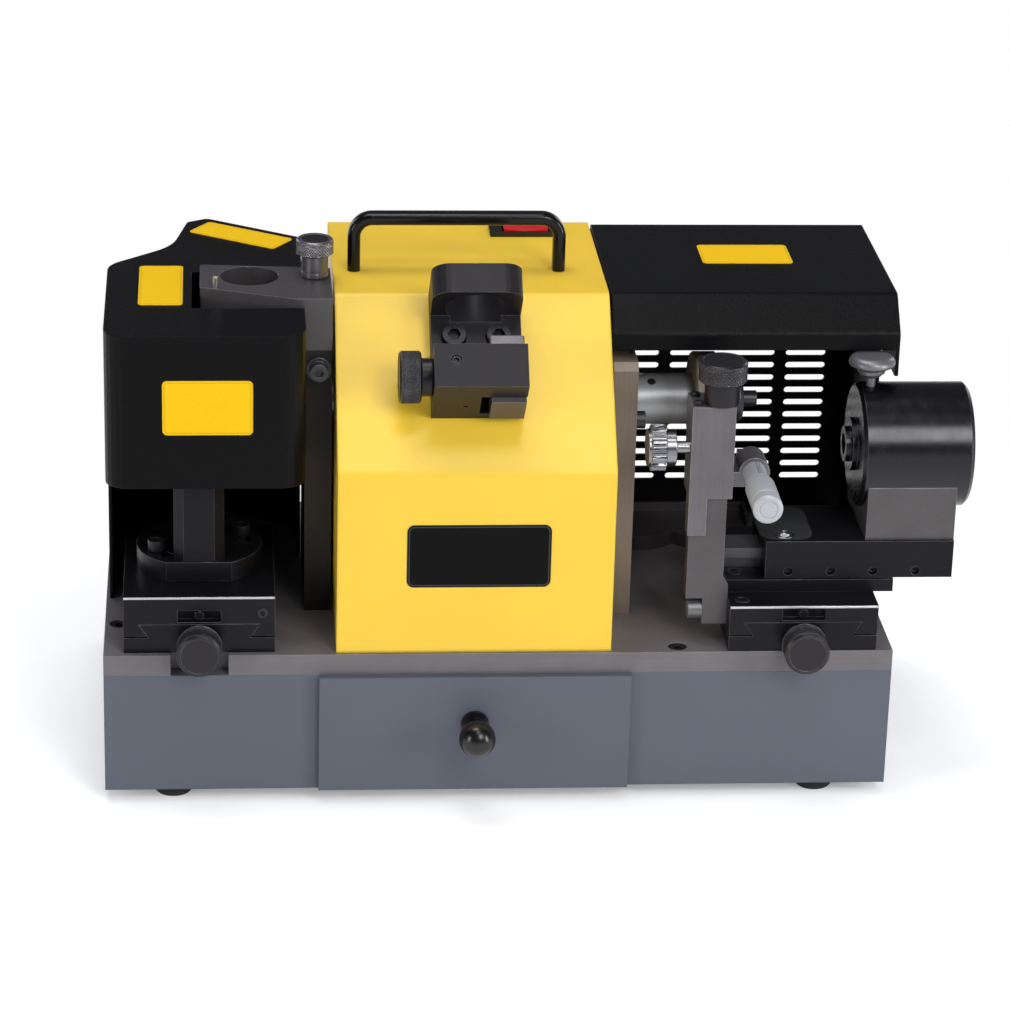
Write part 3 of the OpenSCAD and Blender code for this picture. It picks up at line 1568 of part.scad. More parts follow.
module right_wheel_nut() {
    x0 = wheel_x0 + wheel_t;
    color("silver") difference() {
        union() {
            translate([x0, spindle_y, spindle_z]) rotate([0, 90, 0]) drum(wheel_nut_d, wheel_nut_l, 2);
            rod_x(stud_d, x0 + wheel_nut_l - 1, x0 + wheel_nut_l + stud_l, spindle_y, spindle_z);
        }
        rod_x(wheel_seat_d + 2 * seat_gap, x0 - 1, seat_x1 + 0.5, spindle_y, spindle_z);
    }
}

module drawer() {
    x0 = drawer_x - drawer_box_w / 2;
    x1 = drawer_x + drawer_box_w / 2;
    z1 = drawer_z0 + drawer_box_h;
    wall = drawer_wall;
    color("slategray") difference() {
        union() {
            block(
                [drawer_x - drawer_w / 2, -slide_gap - drawer_front_t, cabinet_bottom + drawer_margin],
                [drawer_x + drawer_w / 2, -slide_gap, cabinet_top - drawer_margin]
            );
            block([x0, -slide_gap - 1, drawer_z0], [x1, drawer_back, z1]);
        }
        block([x0 + wall, wall, drawer_z0 + wall], [x1 - wall, drawer_back - wall, z1 + 1]);
    }
}

module drawer_knob() {
    panel = -slide_gap - drawer_front_t;
    stem_d = 9;
    flange_d = 16;
    flange_t = 2;
    color("black") {
        translate([drawer_x, ball_y, -drawer_knob_drop]) sphere(d = drawer_knob_d);
        rod_y(stem_d, ball_y, panel, drawer_x, -drawer_knob_drop);
        rod_y(flange_d, panel - flange_t, panel, drawer_x, -drawer_knob_drop);
    }
}

module setter_bracket() {
    foot_v = gauge_foot + gauge_l;
    half = setter_w / 2;
    head = screw_head(setter_screw_d);
    color("gray") on_slope() translate([setter_x, 0, 0]) difference() {
        union() {
            block([-half, foot_v, 0], [half, setter_top, setter_flange_t]);
            translate([0, setter_top, 0]) rotate([90, 0, 0]) linear_extrude(height = setter_ring_t)
                polygon(rounded(
                    box_outline([-half, 0], [half, setter_ring_h]), [0, 0, setter_corner_r, setter_corner_r]
                ));
        }
        rod_y(setter_bore_d, setter_ring_v - setter_relief, setter_top + 1, 0, setter_bore_w);
        for (s = [-1, 1]) {
            rod_z(
                setter_screw_d + 2 * bolt_gap, -1, setter_flange_t + 1,
                s * setter_screw_gap / 2, setter_screw_v
            );
            rod_z(
                head + 2 * setter_head_gap, setter_flange_t - setter_sink, setter_flange_t + 1,
                s * setter_screw_gap / 2, setter_screw_v
            );
        }
    }
}

module setter_screws() {
    seat = setter_flange_t - setter_sink;
    color("dimgray") on_slope()
        for (s = [-1, 1])
            translate([setter_x + s * setter_screw_gap / 2, setter_screw_v, seat])
                cap_screw(setter_screw_d, seat + sheet_t);
}

module setter_block() {
    color("gray") on_slope() difference() {
        block([gauge_x0, gauge_foot, 0], [gauge_x1, gauge_foot + gauge_l, gauge_h]);
        block([jaw_x0 - jaw_gap, gauge_foot - 1, jaw_w0], [gauge_x1 + 1, jaw_v1, jaw_w1]);
        rod_x(setter_shaft_d + 2 * run_gap, gauge_x0 - 1, jaw_x0, setter_knob_v, setter_knob_w);
        rod_y(
            small_hole_d, gauge_foot - 1, gauge_foot + small_hole_depth,
            gauge_x0 + small_hole_at[0], small_hole_at[1]
        );
        rod_z(
            gauge_screw_d, gauge_h - gauge_screw_depth, gauge_h + 1,
            gauge_x0 + gauge_screw_at[0], gauge_foot + gauge_screw_at[1]
        );
    }
}

module setter_jaw() {
    color("gray") on_slope() block(
        [jaw_x0, gauge_foot - jaw_proud, jaw_w0 + slide_gap],
        [jaw_x0 + jaw_w, jaw_v1 - slide_gap, jaw_w1 - slide_gap]
    );
}

module setter_knob() {
    x0 = gauge_x0 - slide_gap;
    color("silver") on_slope() {
        rod_x(setter_shaft_d, x0 - 1, jaw_x0 - jaw_gap - jaw_side, setter_knob_v, setter_knob_w);
        rod_x(setter_neck_d, x0 - setter_neck_l, x0, setter_knob_v, setter_knob_w);
        translate([x0 - setter_neck_l, setter_knob_v, setter_knob_w]) rotate([0, -90, 0])
            drum(setter_knob_d, setter_knob_l, 1);
    }
}

placed() cabinet();
placed() base_plate();
placed() feet();
placed() plate_screws();
placed() drawer_runners();
placed() cable_gland();
placed() hood();
placed() casting_left();
placed() casting_right();
placed() casting_screws();
placed() motor_housing();
placed() stator();
placed() bearings();
placed() left_guard();
placed() ring_bracket();
placed() right_hood();
placed() dust_tray();
placed() handle();
placed() switch_bezel();
placed() left_slide_base();
placed() right_slide_base();
placed() setter_bracket();
placed() setter_screws();
placed() setter_block();
placed() drawer();
placed() drawer_knob();
placed() spindle();
placed() rotor_core();
placed() left_wheel();
placed() left_wheel_nut();
placed() arbor();
placed() right_wheel();
placed() right_wheel_nut();
placed() left_feed_screw();
placed() left_saddle();
placed() left_feed_nut();
placed() swivel_screws();
placed() left_swivel_plate();
placed() rest_post();
placed() ring_clamp_knob();
placed() right_feed_screw();
placed() right_saddle();
placed() right_feed_nut();
placed() cross_plate();
placed() cross_rail();
placed() stand_plate();
placed() carriage();
placed() cradle_block();
placed() sleeve();
placed() collet_chuck();
placed() index_pin();
placed() rest_block();
placed() micrometer_barrel();
placed() height_knob();
placed() micrometer_thimble();
placed() tooth_rest();
placed() lock_knob();
placed() setter_jaw();
placed() setter_knob();
placed() switch_rocker();
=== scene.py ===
"""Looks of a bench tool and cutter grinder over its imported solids, in the order that it is put together."""
import math

import bpy
import numpy as np
from mathutils import Matrix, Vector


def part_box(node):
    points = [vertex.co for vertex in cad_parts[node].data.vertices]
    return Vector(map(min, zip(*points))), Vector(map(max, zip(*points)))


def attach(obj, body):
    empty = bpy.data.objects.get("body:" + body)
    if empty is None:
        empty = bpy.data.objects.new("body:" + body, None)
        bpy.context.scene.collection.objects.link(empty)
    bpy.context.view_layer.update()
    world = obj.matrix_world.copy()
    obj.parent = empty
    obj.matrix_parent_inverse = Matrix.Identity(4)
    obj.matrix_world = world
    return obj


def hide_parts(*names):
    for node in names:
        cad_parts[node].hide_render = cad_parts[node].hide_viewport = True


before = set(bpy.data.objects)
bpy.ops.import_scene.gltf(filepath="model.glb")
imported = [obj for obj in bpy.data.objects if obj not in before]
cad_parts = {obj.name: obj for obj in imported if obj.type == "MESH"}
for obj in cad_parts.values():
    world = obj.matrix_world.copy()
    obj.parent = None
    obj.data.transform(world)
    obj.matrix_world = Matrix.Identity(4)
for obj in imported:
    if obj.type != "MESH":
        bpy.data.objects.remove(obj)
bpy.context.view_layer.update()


# Cabinet and drawer: the steel box that the machine stands on, with one drawer in its front. Folded sheet,
# seam-welded and sprayed with a satin blue-grey enamel.

def linear(code):
    """An sRGB hex colour as linear RGBA: each channel goes through the inverse of the sRGB curve."""
    c = np.array([int(code[i:i + 2], 16) for i in (1, 3, 5)]) / 255
    return (*np.where(c <= 0.04045, c / 12.92, ((c + 0.055) / 1.055) ** 2.4).tolist(), 1.0)


def add(owner, kind, settings=None, sockets=None):
    """Adds one node to a material or the world: settings go on the node, sockets take a value or a link."""
    node = owner.node_tree.nodes.new("ShaderNode" + kind)
    for name, value in (settings or {}).items():
        setattr(node, name, value)
    for name, value in (sockets or {}).items():
        if isinstance(value, bpy.types.NodeSocket):
            owner.node_tree.links.new(value, node.inputs[name])
        else:
            node.inputs[name].default_value = value
    return node


def started(name):
    """An empty material, and the Object coordinates of the piece that wears it."""
    material = bpy.data.materials.new(name)
    material.use_nodes = True
    material.node_tree.nodes.clear()
    return material, add(material, "TexCoord").outputs["Object"]


def shaded(material, sockets):
    """Closes a material with its shader, whose sockets take constant values or links."""
    shader = add(material, "BsdfPrincipled", {}, sockets)
    add(material, "OutputMaterial", {}, {"Surface": shader.outputs[0]})
    return material


def relief(material, height, depth_mm, edge_mm):
    """The normal of a surface whose edges are rounded by edge_mm and whose height pattern stands depth_mm
    tall, with a mask that is 0 on a flat and rises to 1 where the rounded normal turns from the true one."""
    flat_cosine, edge_cosine = 0.985, 0.8
    rounded = add(material, "Bevel", {"samples": 4}, {"Radius": edge_mm / 1000}).outputs[0]
    normal = add(material, "Bump", {},
                 {"Distance": depth_mm / 1000, "Height": height, "Normal": rounded}).outputs[0]
    true = add(material, "NewGeometry").outputs["Normal"]
    along = add(material, "VectorMath", {"operation": "DOT_PRODUCT"}, {0: rounded, 1: true}).outputs["Value"]
    edge = add(material, "MapRange", {}, {"Value": along, "From Min": flat_cosine, "From Max": edge_cosine,
                                          "To Min": 0.0, "To Max": 1.0}).outputs[0]
    return normal, edge


def toned(material, colour, spread, mask):
    """A colour that drifts by the spread, darker to lighter, as the mask goes from 0 to 1."""
    tone = np.array(linear(colour)[:3])
    dark, light = ((*np.clip(tone * k, 0, 1).tolist(), 1.0) for k in (1 - spread, 1 + spread))
    blend = add(material, "Mix", {"data_type": "RGBA"}, {"Factor": mask, "A": dark, "B": light})
    return blend.outputs["Result"]


def sprayed(name, colour, roughness, specular, peel_mm, depth_mm, edge_mm):
    """A sprayed coat: its tone drifts by 4% over 60 mm, and it lies in orange peel of peel_mm cells, depth_mm
    deep, that swings the roughness."""
    drift_mm, spread, swing = 60, 0.04, 0.06
    material, where = started(name)
    drift = add(material, "TexNoise", {},
                {"Vector": where, "Scale": 1000 / drift_mm, "Detail": 2.0}).outputs[0]
    peel = add(material, "TexNoise", {},
               {"Vector": where, "Scale": 1000 / peel_mm, "Detail": 1.0}).outputs[0]
    normal, _ = relief(material, peel, depth_mm, edge_mm)
    gloss = add(material, "MapRange", {},
                {"Value": peel, "To Min": roughness - swing, "To Max": roughness + swing}).outputs[0]
    return shaded(material, {"Base Color": toned(material, colour, spread, drift), "Roughness": gloss,
                             "Specular IOR Level": specular, "Normal": normal})


def dress(material, *names):
    """Puts a material on the slots of CAD nodes."""
    for name in names:
        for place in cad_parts[name].material_slots:
            place.material = material


# Satin enamel, sprayed: an even blue-grey with a soft sheen and a fine peel.
satin_enamel = sprayed("satin_blue_grey_enamel", "#565a65", roughness=0.46, specular=0.35,
                       peel_mm=1.6, depth_mm=0.008, edge_mm=0.9)
dress(satin_enamel, "cabinet", "drawer")


# Feet and cable gland: rubber pads screwed under the cabinet's corners, and a nylon gland in its back.
# Both are moulded, with a faint grain from the tool.

def moulded(name, colour, roughness, grain_mm, depth_mm, edge_mm):
    """A moulded piece: grain of grain_mm cells, depth_mm deep, with 8% of drift in tone over 10 mm."""
    drift_mm, spread, swing = 10, 0.08, 0.05
    material, where = started(name)
    drift = add(material, "TexNoise", {},
                {"Vector": where, "Scale": 1000 / drift_mm, "Detail": 3.0}).outputs[0]
    grain = add(material, "TexVoronoi", {}, {"Vector": where, "Scale": 1000 / grain_mm}).outputs["Distance"]
    normal, _ = relief(material, grain, depth_mm, edge_mm)
    gloss = add(material, "MapRange", {},
                {"Value": drift, "To Min": roughness - swing, "To Max": roughness + swing}).outputs[0]
    return shaded(material, {"Base Color": toned(material, colour, spread, drift), "Roughness": gloss,
                             "Normal": normal})


# Moulded rubber: near black and dull. Glass-filled nylon: black with a fine spark-eroded grain.
rubber = moulded("moulded_rubber", "#1d1e22", roughness=0.8, grain_mm=1.2, depth_mm=0.03, edge_mm=0.6)
grained_nylon = moulded("black_nylon", "#18181b", roughness=0.42, grain_mm=0.8, depth_mm=0.012, edge_mm=0.5)
dress(rubber, "feet")
dress(grained_nylon, "cable_gland")


# Base plate: a thick steel plate on the cabinet, milled on every face and chemically blackened, held by
# black socket screws in counterbores. The drawer's runners hang under it.

def worked(name, colour, bare, metallic, roughness, marks_mm, depth_mm, edge_mm, edge_wear_and_highlight=0.7, specular=0.4):
    """Machined metal: tool marks are noise with one cell size for each axis, so a long cell draws them out
    into lines; the tone drifts over 14 mm, and edges turn to the bare colour in patches: partly wear, and
    partly a painted highlight along the edges."""
    drift_mm, spread, swing = 14, 0.3, 0.09
    material, where = started(name)
    stretched = add(material, "Mapping", {},
                    {"Vector": where, "Scale": [1000 / m for m in marks_mm]}).outputs[0]
    marks = add(material, "TexNoise", {}, {"Vector": stretched, "Scale": 1.0, "Detail": 3.0}).outputs[0]
    drift = add(material, "TexNoise", {},
                {"Vector": where, "Scale": 1000 / drift_mm, "Detail": 4.0}).outputs[0]
    normal, edge = relief(material, marks, depth_mm, edge_mm)
    patch = add(material, "MapRange", {}, {"Value": drift, "From Min": 0.3, "From Max": 0.65,
                                           "To Min": 0.35 * edge_wear_and_highlight, "To Max": edge_wear_and_highlight}).outputs[0]
    # Edges take the bare colour in patches: partly real wear, partly a painted highlight along them.
    through = add(material, "Math", {"operation": "MULTIPLY", "use_clamp": True},
                  {0: edge, 1: patch}).outputs[0]
    streak = add(material, "Mix", {"data_type": "FLOAT"},
                 {"Factor": 0.5, "A": drift, "B": marks}).outputs["Result"]
    tone = toned(material, colour, spread, streak)
    skin = add(material, "Mix", {"data_type": "RGBA"},
               {"Factor": through, "A": tone, "B": linear(bare)}).outputs["Result"]
    gloss = add(material, "MapRange", {},
                {"Value": marks, "To Min": roughness - swing, "To Max": roughness + swing}).outputs[0]
    return shaded(material, {"Base Color": skin, "Metallic": metallic, "Roughness": gloss, "Normal": normal,
                             "Specular IOR Level": specular})


# Blackened milled steel: a worn brown-grey with cutter lines along the plate. Black oxide: the screws' even
# dark skin.
milled_plate = worked("blackened_milled_steel", "#6b6769", "#a8a5a6", metallic=0.1, roughness=0.44,
                      marks_mm=(40, 0.9, 0.9), depth_mm=0.004, edge_mm=0.7, specular=0.3)
black_oxide = worked("black_oxide_steel", "#232226", "#7d7b80", metallic=0.3, roughness=0.34,
                     marks_mm=(0.8, 0.8, 0.8), depth_mm=0.003, edge_mm=0.35)
dress(milled_plate, "base_plate")
dress(black_oxide, "plate_screws", "swivel_screws", "setter_screws")

# Cold-drawn steel: pale, with drawing lines that run front to back along the runners.
drawn_steel = worked("drawn_steel", "#a3a4a7", "#c9cacc", metallic=1.0, roughness=0.36,
                     marks_mm=(0.6, 60, 0.6), depth_mm=0.003, edge_mm=0.4)
dress(drawn_steel, "drawer_runners")


# Drawer knob: a ball of black phenolic resin, moulded and then polished, and screwed on a stud through the
# drawer's front.

# Phenolic: deep black under a hard gloss, with a few long ripples from the polishing wheel.
phenolic = moulded("polished_phenolic", "#0d0c0e", roughness=0.26, grain_mm=9.0, depth_mm=0.006, edge_mm=0.3)
dress(phenolic, "drawer_knob")


# Motor and spindle: inside the hood, a cast aluminium frame round a laminated stack, and a ground steel
# spindle in two ball bearings. Little of it shows, through the castings and from behind.

# Cast aluminium: pale and grainy. Laminated stack: thin dark and light sheets across the shaft.
cast_aluminium = worked("cast_aluminium", "#9c9da1", "#c4c5c8", metallic=0.9, roughness=0.5,
                        marks_mm=(1.6, 1.6, 1.6), depth_mm=0.03, edge_mm=0.6)
laminated = worked("laminated_steel", "#6d6c6e", "#98979a", metallic=0.9, roughness=0.45,
                   marks_mm=(0.5, 90, 90), depth_mm=0.02, edge_mm=0.3)
# Ground steel on an axis across the machine: bright, with hair-fine rings left by the grinding wheel.
ground_steel = worked("ground_steel", "#c4c5c8", "#e2e2e4", metallic=1.0, roughness=0.3,
                      marks_mm=(0.35, 80, 80), depth_mm=0.0012, edge_mm=0.5)
dress(cast_aluminium, "motor_housing")
dress(laminated, "stator", "rotor_core")
dress(ground_steel, "spindle", "bearings")


# Bearing castings: two grey iron blocks at the hood's sides that hold the spindle. They are milled flat and
# bolted to the plate, with socket screws in their faces.

# Milled grey iron: a warm grey, dull, with cutter lines up the face. The left one gets a copy painted nearly
# black, a painted shade for where it stands beside the guard.
grey_iron = worked("milled_grey_iron", "#867a6f", "#b8aea4", metallic=0.35, roughness=0.5,
                   marks_mm=(1.1, 1.1, 30), depth_mm=0.006, edge_mm=0.7)
painted_shade_iron = worked("painted_shade_grey_iron", "#2d2926", "#7d746c", metallic=0.3, roughness=0.46,
                    marks_mm=(1.1, 1.1, 30), depth_mm=0.006, edge_mm=0.7, specular=0.25)
# Oiled alloy steel: the socket screws' dark grey, bright on the rims: partly where the key has rubbed, partly
# a painted highlight.
alloy_steel = worked("oiled_alloy_steel", "#48474a", "#b4b3b5", metallic=0.5, roughness=0.36,
                     marks_mm=(0.8, 0.8, 0.8), depth_mm=0.003, edge_mm=0.5, edge_wear_and_highlight=1.0)
dress(grey_iron, "casting_right")
# The left casting wears the darker copy: painted shade.
dress(painted_shade_iron, "casting_left")
dress(alloy_steel, "casting_screws")


# Motor hood: one steel sheet folded over the motor and screwed to the plate, sprayed yellow, with a bare
# black plate of anodised aluminium stuck to its front.

# Gloss enamel, sprayed: a warm, clear yellow, smooth but for a wide shallow peel.
yellow_enamel = sprayed("yellow_gloss_enamel", "#e9c23a", roughness=0.32, specular=0.42,
                        peel_mm=2.4, depth_mm=0.012, edge_mm=2.2)
dress(yellow_enamel, "hood")

rightward, backward, upward = (1, 0, 0), (0, 1, 0), (0, 0, 1)
leftward, forward = (-1, 0, 0), (0, -1, 0)
plate_lo, plate_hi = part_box("base_plate")
shop_datum = np.array([(plate_lo.x + plate_hi.x) / 2, plate_lo.y, plate_hi.z])


def spot(x, y, z):
    """A point in metres from shop sizes in mm: x from the plate's middle, y from its front edge, z from its
    top."""
    return shop_datum + np.array([x, y, z]) / 1000


def skinned(name, material, body, points):
    """A closed piece from a grid of points, rows along it and columns round it: quads join neighbours, the
    columns close into a ring, and one flat face closes each end row. Edges past 35 degrees stay sharp."""
    rows, columns = points.shape[:2]
    i, j = np.meshgrid(np.arange(rows - 1), np.arange(columns), indexing="ij")
    k = (j + 1) % columns
    quads = np.stack([i * columns + j, i * columns + k, (i + 1) * columns + k, (i + 1) * columns + j], -1)
    ends = [np.arange(columns)[::-1].tolist(), (np.arange(columns) + (rows - 1) * columns).tolist()]
    mesh = bpy.data.meshes.new(name)
    mesh.from_pydata(points.reshape(-1, 3).tolist(), [], quads.reshape(-1, 4).tolist() + ends)
    mesh.polygons.foreach_set("use_smooth", np.ones(len(mesh.polygons), bool))
    mesh.set_sharp_from_angle(angle=math.radians(35))
    mesh.materials.append(material)
    piece = bpy.data.objects.new(name, mesh)
    bpy.context.scene.collection.objects.link(piece)
    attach(piece, body)
    return piece


def rounded_rings(width, height, corner, inset, steps):
    """Rounded rectangles of width by height, one row for each inset: every corner is a quarter circle about
    the same centre, whose radius is the corner's less the inset. Gives x and y."""
    turn = np.radians(np.linspace(0, 90, steps)[None, :] + np.array([0, 90, 180, 270])[:, None]).ravel()
    centre_x = np.repeat([1, -1, -1, 1], steps) * (width / 2 - corner)
    centre_y = np.repeat([1, 1, -1, -1], steps) * (height / 2 - corner)
    radius = (corner - inset)[:, None]
    return centre_x + radius * np.cos(turn), centre_y + radius * np.sin(turn)


def stuck_plate(name, material, body, middle, across, up, width, height, corner, thick=0.4):
    """A thin plate on a flat face: rounded rectangles that go from the face up over a small bevel, then in
    towards the middle. The attribute from_rim holds each ring's inset in mm."""
    bevel = 0.1
    inset = np.minimum([0, 0, 0.12, 0.5, 1.0, 1.6, 2.0], 0.9 * corner)
    lift = np.array([0, thick - bevel] + [thick] * 5)
    x, y = rounded_rings(width, height, corner, inset, steps=9)
    across, up = np.array(across, float), np.array(up, float)
    out = np.cross(across, up)
    points = middle + (x[..., None] * across + y[..., None] * up + lift[:, None, None] * out) / 1000
    piece = skinned(name, material, body, points)
    rim = piece.data.attributes.new("from_rim", "FLOAT", "POINT")
    rim.data.foreach_set("value", np.repeat(inset, points.shape[1]).astype(np.float32))


def printed(name, face, line, roughness, specular):
    """Printed sheet: the face colour, and a line of the second colour from 0.8 to 1.5 mm in from the rim."""
    line_middle, line_half = 1.15, 0.35
    weave_mm, weave_depth_mm, spread = 1.5, 0.004, 0.03
    material, where = started(name)
    rim = add(material, "Attribute", {"attribute_name": "from_rim"}).outputs["Fac"]
    inner = add(material, "Math", {"operation": "COMPARE"}, {0: rim, 1: line_middle, 2: line_half}).outputs[0]
    weave = add(material, "TexNoise", {},
                {"Vector": where, "Scale": 1000 / weave_mm, "Detail": 2.0}).outputs[0]
    normal = add(material, "Bump", {}, {"Distance": weave_depth_mm / 1000, "Height": weave}).outputs[0]
    ground = toned(material, face, spread, weave)
    ink = add(material, "Mix", {"data_type": "RGBA"},
              {"Factor": inner, "A": ground, "B": linear(line)}).outputs["Result"]
    return shaded(material, {"Base Color": ink, "Roughness": roughness, "Specular IOR Level": specular,
                             "Normal": normal})


# Anodised sheet: black with a soft gloss and a fine grey line round it.
black_sheet = printed("black_anodised_sheet", "#070708", "#3a3a3d", roughness=0.3, specular=0.1)
stuck_plate("name_plate", black_sheet, "base", spot(-13.4, 2, 57.9), rightward, upward,
            width=79.5, height=37, corner=4)


# Carrying handle: a steel bar of rounded section, bent twice, enamelled gloss black and screwed to the
# hood's top by its two feet.

# Gloss enamel: black, smooth enough to draw the lamps as lines along the bar.
gloss_black = sprayed("black_gloss_enamel", "#0a0a0c", roughness=0.2, specular=0.3,
                      peel_mm=4.0, depth_mm=0.004, edge_mm=0.3)

lo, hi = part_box("handle")
bar_t, bar_edge, bend_outside, bend_steps = 7.2, 2.9, 14, 16
half, rise, depth = (hi.x - lo.x) * 500, (hi.z - lo.z) * 1000, (hi.y - lo.y) * 1000
bend = bend_outside - bar_t / 2
leg, top = half - bar_t / 2, rise - bar_t / 2
quarter = np.linspace(0, 90, bend_steps)
sweep = np.radians(180 - quarter)
left_x, left_z = -leg + bend + bend * np.cos(sweep), top - bend + bend * np.sin(sweep)
path_x = np.concatenate([[-leg], left_x, -left_x[::-1], [leg]])[:, None]
path_z = np.concatenate([[0], left_z, left_z[::-1], [0]])[:, None]
heading = np.radians(np.concatenate([[90], 90 - quarter, -quarter, [-90]]))[:, None]
# Each ring is the rounded section, square to the path: its depth along Y, its thickness along the normal.
along_depth, off_path = rounded_rings(depth, bar_t, bar_edge, np.zeros(1), steps=7)
bar_x = path_x - np.sin(heading) * off_path
bar_z = path_z + np.cos(heading) * off_path
bar = np.stack([bar_x, np.broadcast_to(along_depth, bar_x.shape), bar_z], -1)
handle_foot = np.array([(lo.x + hi.x) / 2, (lo.y + hi.y) / 2, lo.z])
handle = skinned("carrying_handle", gloss_black, "base", handle_foot + bar / 1000)
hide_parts("handle")


# Switch: a rocker switch in a black phenolic bezel, snapped into the hood's top behind the handle. Its rocker
# is moulded in one piece.

# Polycarbonate: clear red and glossy, with only a breath of texture on top.
red_rocker = moulded("red_polycarbonate", "#c4161c", roughness=0.22, grain_mm=1.5, depth_mm=0.004,
                     edge_mm=0.4)
dress(phenolic, "switch_bezel")
dress(red_rocker, "switch_rocker")


# Wheels and arbor: a cup wheel with its nut at the left end of the spindle, and a ground arbor with the
# second wheel, its nut and a set screw at the right.

# Bonded grit on an aluminium body: sandy grey, glittering with 0.6 mm grains, drawn coarser than real grit.
grit_mm, grit_depth_mm, grit_edge_mm = 0.6, 0.12, 0.4
bonded_grit, where = started("bonded_diamond_grit")
grit = add(bonded_grit, "TexVoronoi", {}, {"Vector": where, "Scale": 1000 / grit_mm}).outputs["Distance"]
grit_normal, _ = relief(bonded_grit, grit, grit_depth_mm, grit_edge_mm)
shaded(bonded_grit, {"Base Color": toned(bonded_grit, "#8a8477", 0.35, grit), "Roughness": 0.75,
                     "Metallic": 0.2, "Normal": grit_normal})
# Satin steel: the arbor's milky grey, polished with cloth so that it mirrors little.
satin_arbor = worked("satin_polished_steel", "#b4b5b7", "#d4d4d6", metallic=0.5, roughness=0.4,
                     marks_mm=(0.5, 40, 40), depth_mm=0.002, edge_mm=0.4)
dress(bonded_grit, "left_wheel", "right_wheel")
dress(satin_arbor, "arbor")
dress(alloy_steel, "left_wheel_nut", "right_wheel_nut")


def turned(name, material, body, start, axis, rows, replaced=(), around=64, knurl=None, radius=None):
    """A lathe piece about an axis: each row (mm along, mm radius) is one ring. A knurl (from, to, count,
    depth) cuts two opposed families of helical grooves into the rows inside it, each groove a triangular wave
    that peaks on its helix. A radius array, if given, sets every ring's radius by row and angle instead."""
    rows = np.array(rows, float)
    along, ring = rows[:, 0], rows[:, 1]
    if knurl:
        low, high, count, depth = knurl
        around = 6 * count
        pitch = 2 * math.pi * ring.max() / count
        band = np.linspace(low, high, int(6 * (high - low) / pitch))
        at = int(np.argmax((along[:-1] <= low) & (along[1:] >= high) & (ring[:-1] == ring.max()))) + 1
        along = np.concatenate([along[:at], band, along[at:]])
        ring = np.concatenate([ring[:at], np.full(len(band), ring.max()), ring[at:]])
        turn = np.arange(around) * count / around
        lead = ((along - low) / pitch)[:, None]
        groove = np.maximum(np.abs(2 * ((turn + lead) % 1) - 1), np.abs(2 * ((turn - lead) % 1) - 1))
        cut = np.zeros(len(along))
        cut[at:at + len(band)] = 1
        radius = ring[:, None] - depth * cut[:, None] * groove ** 1.4
    if radius is None:
        radius = np.repeat(ring[:, None], around, 1)
    angle = np.arange(radius.shape[1]) * 2 * math.pi / radius.shape[1]
    axis = np.array(axis, float)
    side = np.cross(axis, upward if abs(axis[2]) < 0.5 else rightward)
    side /= np.linalg.norm(side)
    other = np.cross(axis, side)
    round_about = np.cos(angle)[:, None] * side + np.sin(angle)[:, None] * other
    points = np.array(start) + (along[:, None, None] * axis + radius[..., None] * round_about) / 1000
    piece = skinned(name, material, body, points)
    if replaced:
        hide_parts(*replaced)


# Set screw in the arbor, flush with its skin, seen from the front at rest.
set_screw_axis = np.array([0, -0.47399, 0.88053])
set_screw_seat = spot(89.2, 100, 113.5) + set_screw_axis * 0.0134
turned("arbor_set_screw", black_oxide, "rotor", set_screw_seat, set_screw_axis,
       [(0, 2.4), (1.15, 2.4), (1.3, 2.2), (1.3, 1.2), (1.2, 1.1), (1.2, 0.3)], around=36)


# Left guard: a box of folded sheet over the cup wheel, powder coated black and screwed to the plate, with
# bare yellow vinyl plates on its front and top.

# Coarse powder coat: black, with a leathery wrinkle that breaks its highlights into specks, and a painted
# highlight that makes its edges a shade lighter.
wrinkle_mm, wrinkle_depth_mm, fold_mm = 1.3, 0.24, 1.4
powder_coat, where = started("black_powder_coat")
wrinkle = add(powder_coat, "TexNoise", {}, {"Vector": where, "Scale": 1000 / wrinkle_mm, "Detail": 2.0,
                                            "Roughness": 0.6}).outputs[0]
powder_normal, powder_edge_highlight = relief(powder_coat, wrinkle, wrinkle_depth_mm, fold_mm)
powder_face = toned(powder_coat, "#08080a", 0.3, wrinkle)
# Edges a shade lighter: a painted highlight along the guard's and hood's edges.
powder_tone = add(powder_coat, "Mix", {"data_type": "RGBA"},
                  {"Factor": powder_edge_highlight, "A": powder_face, "B": linear("#17161a")}).outputs["Result"]
shaded(powder_coat, {"Base Color": powder_tone, "Roughness": 0.34, "Specular IOR Level": 0.11,
                     "Normal": powder_normal})
dress(powder_coat, "left_guard", "right_hood")

# Vinyl sheet: flat yellow, a shade deeper in a thin line inside its rim.
yellow_sheet = printed("yellow_vinyl_sheet", "#e8ba08", "#d4a605", roughness=0.42, specular=0.16)
vinyl_corner, guard_top = 2.6, 182
for name, middle, across, up, width, height in (
        ("guard_front_plate", (-161.9, 13, 141.1), rightward, upward, 49, 31.3),
        ("guard_side_plate", (-187.7, 98, guard_top), rightward, backward, 24.5, 67),
        ("guard_back_plate", (-142.4, 187.6, guard_top), (0.838, -0.5457, 0), (0.5457, 0.838, 0), 58, 22)):
    stuck_plate(name, yellow_sheet, "base", spot(*middle), across, up, width, height,
                vinyl_corner)


# Ring arm and its clamp: a phosphated steel arm on the left casting that carries the tool-holder bore, held
# by a turned screw with a knurled head.

# Phosphated steel: warm grey and satin, its edges bright: partly rubbed, partly a painted highlight.
phosphated = worked("phosphated_steel", "#585456", "#b9b6b2", metallic=0.55, roughness=0.4,
                    marks_mm=(0.9, 0.9, 0.9), depth_mm=0.005, edge_mm=0.45, edge_wear_and_highlight=0.8)
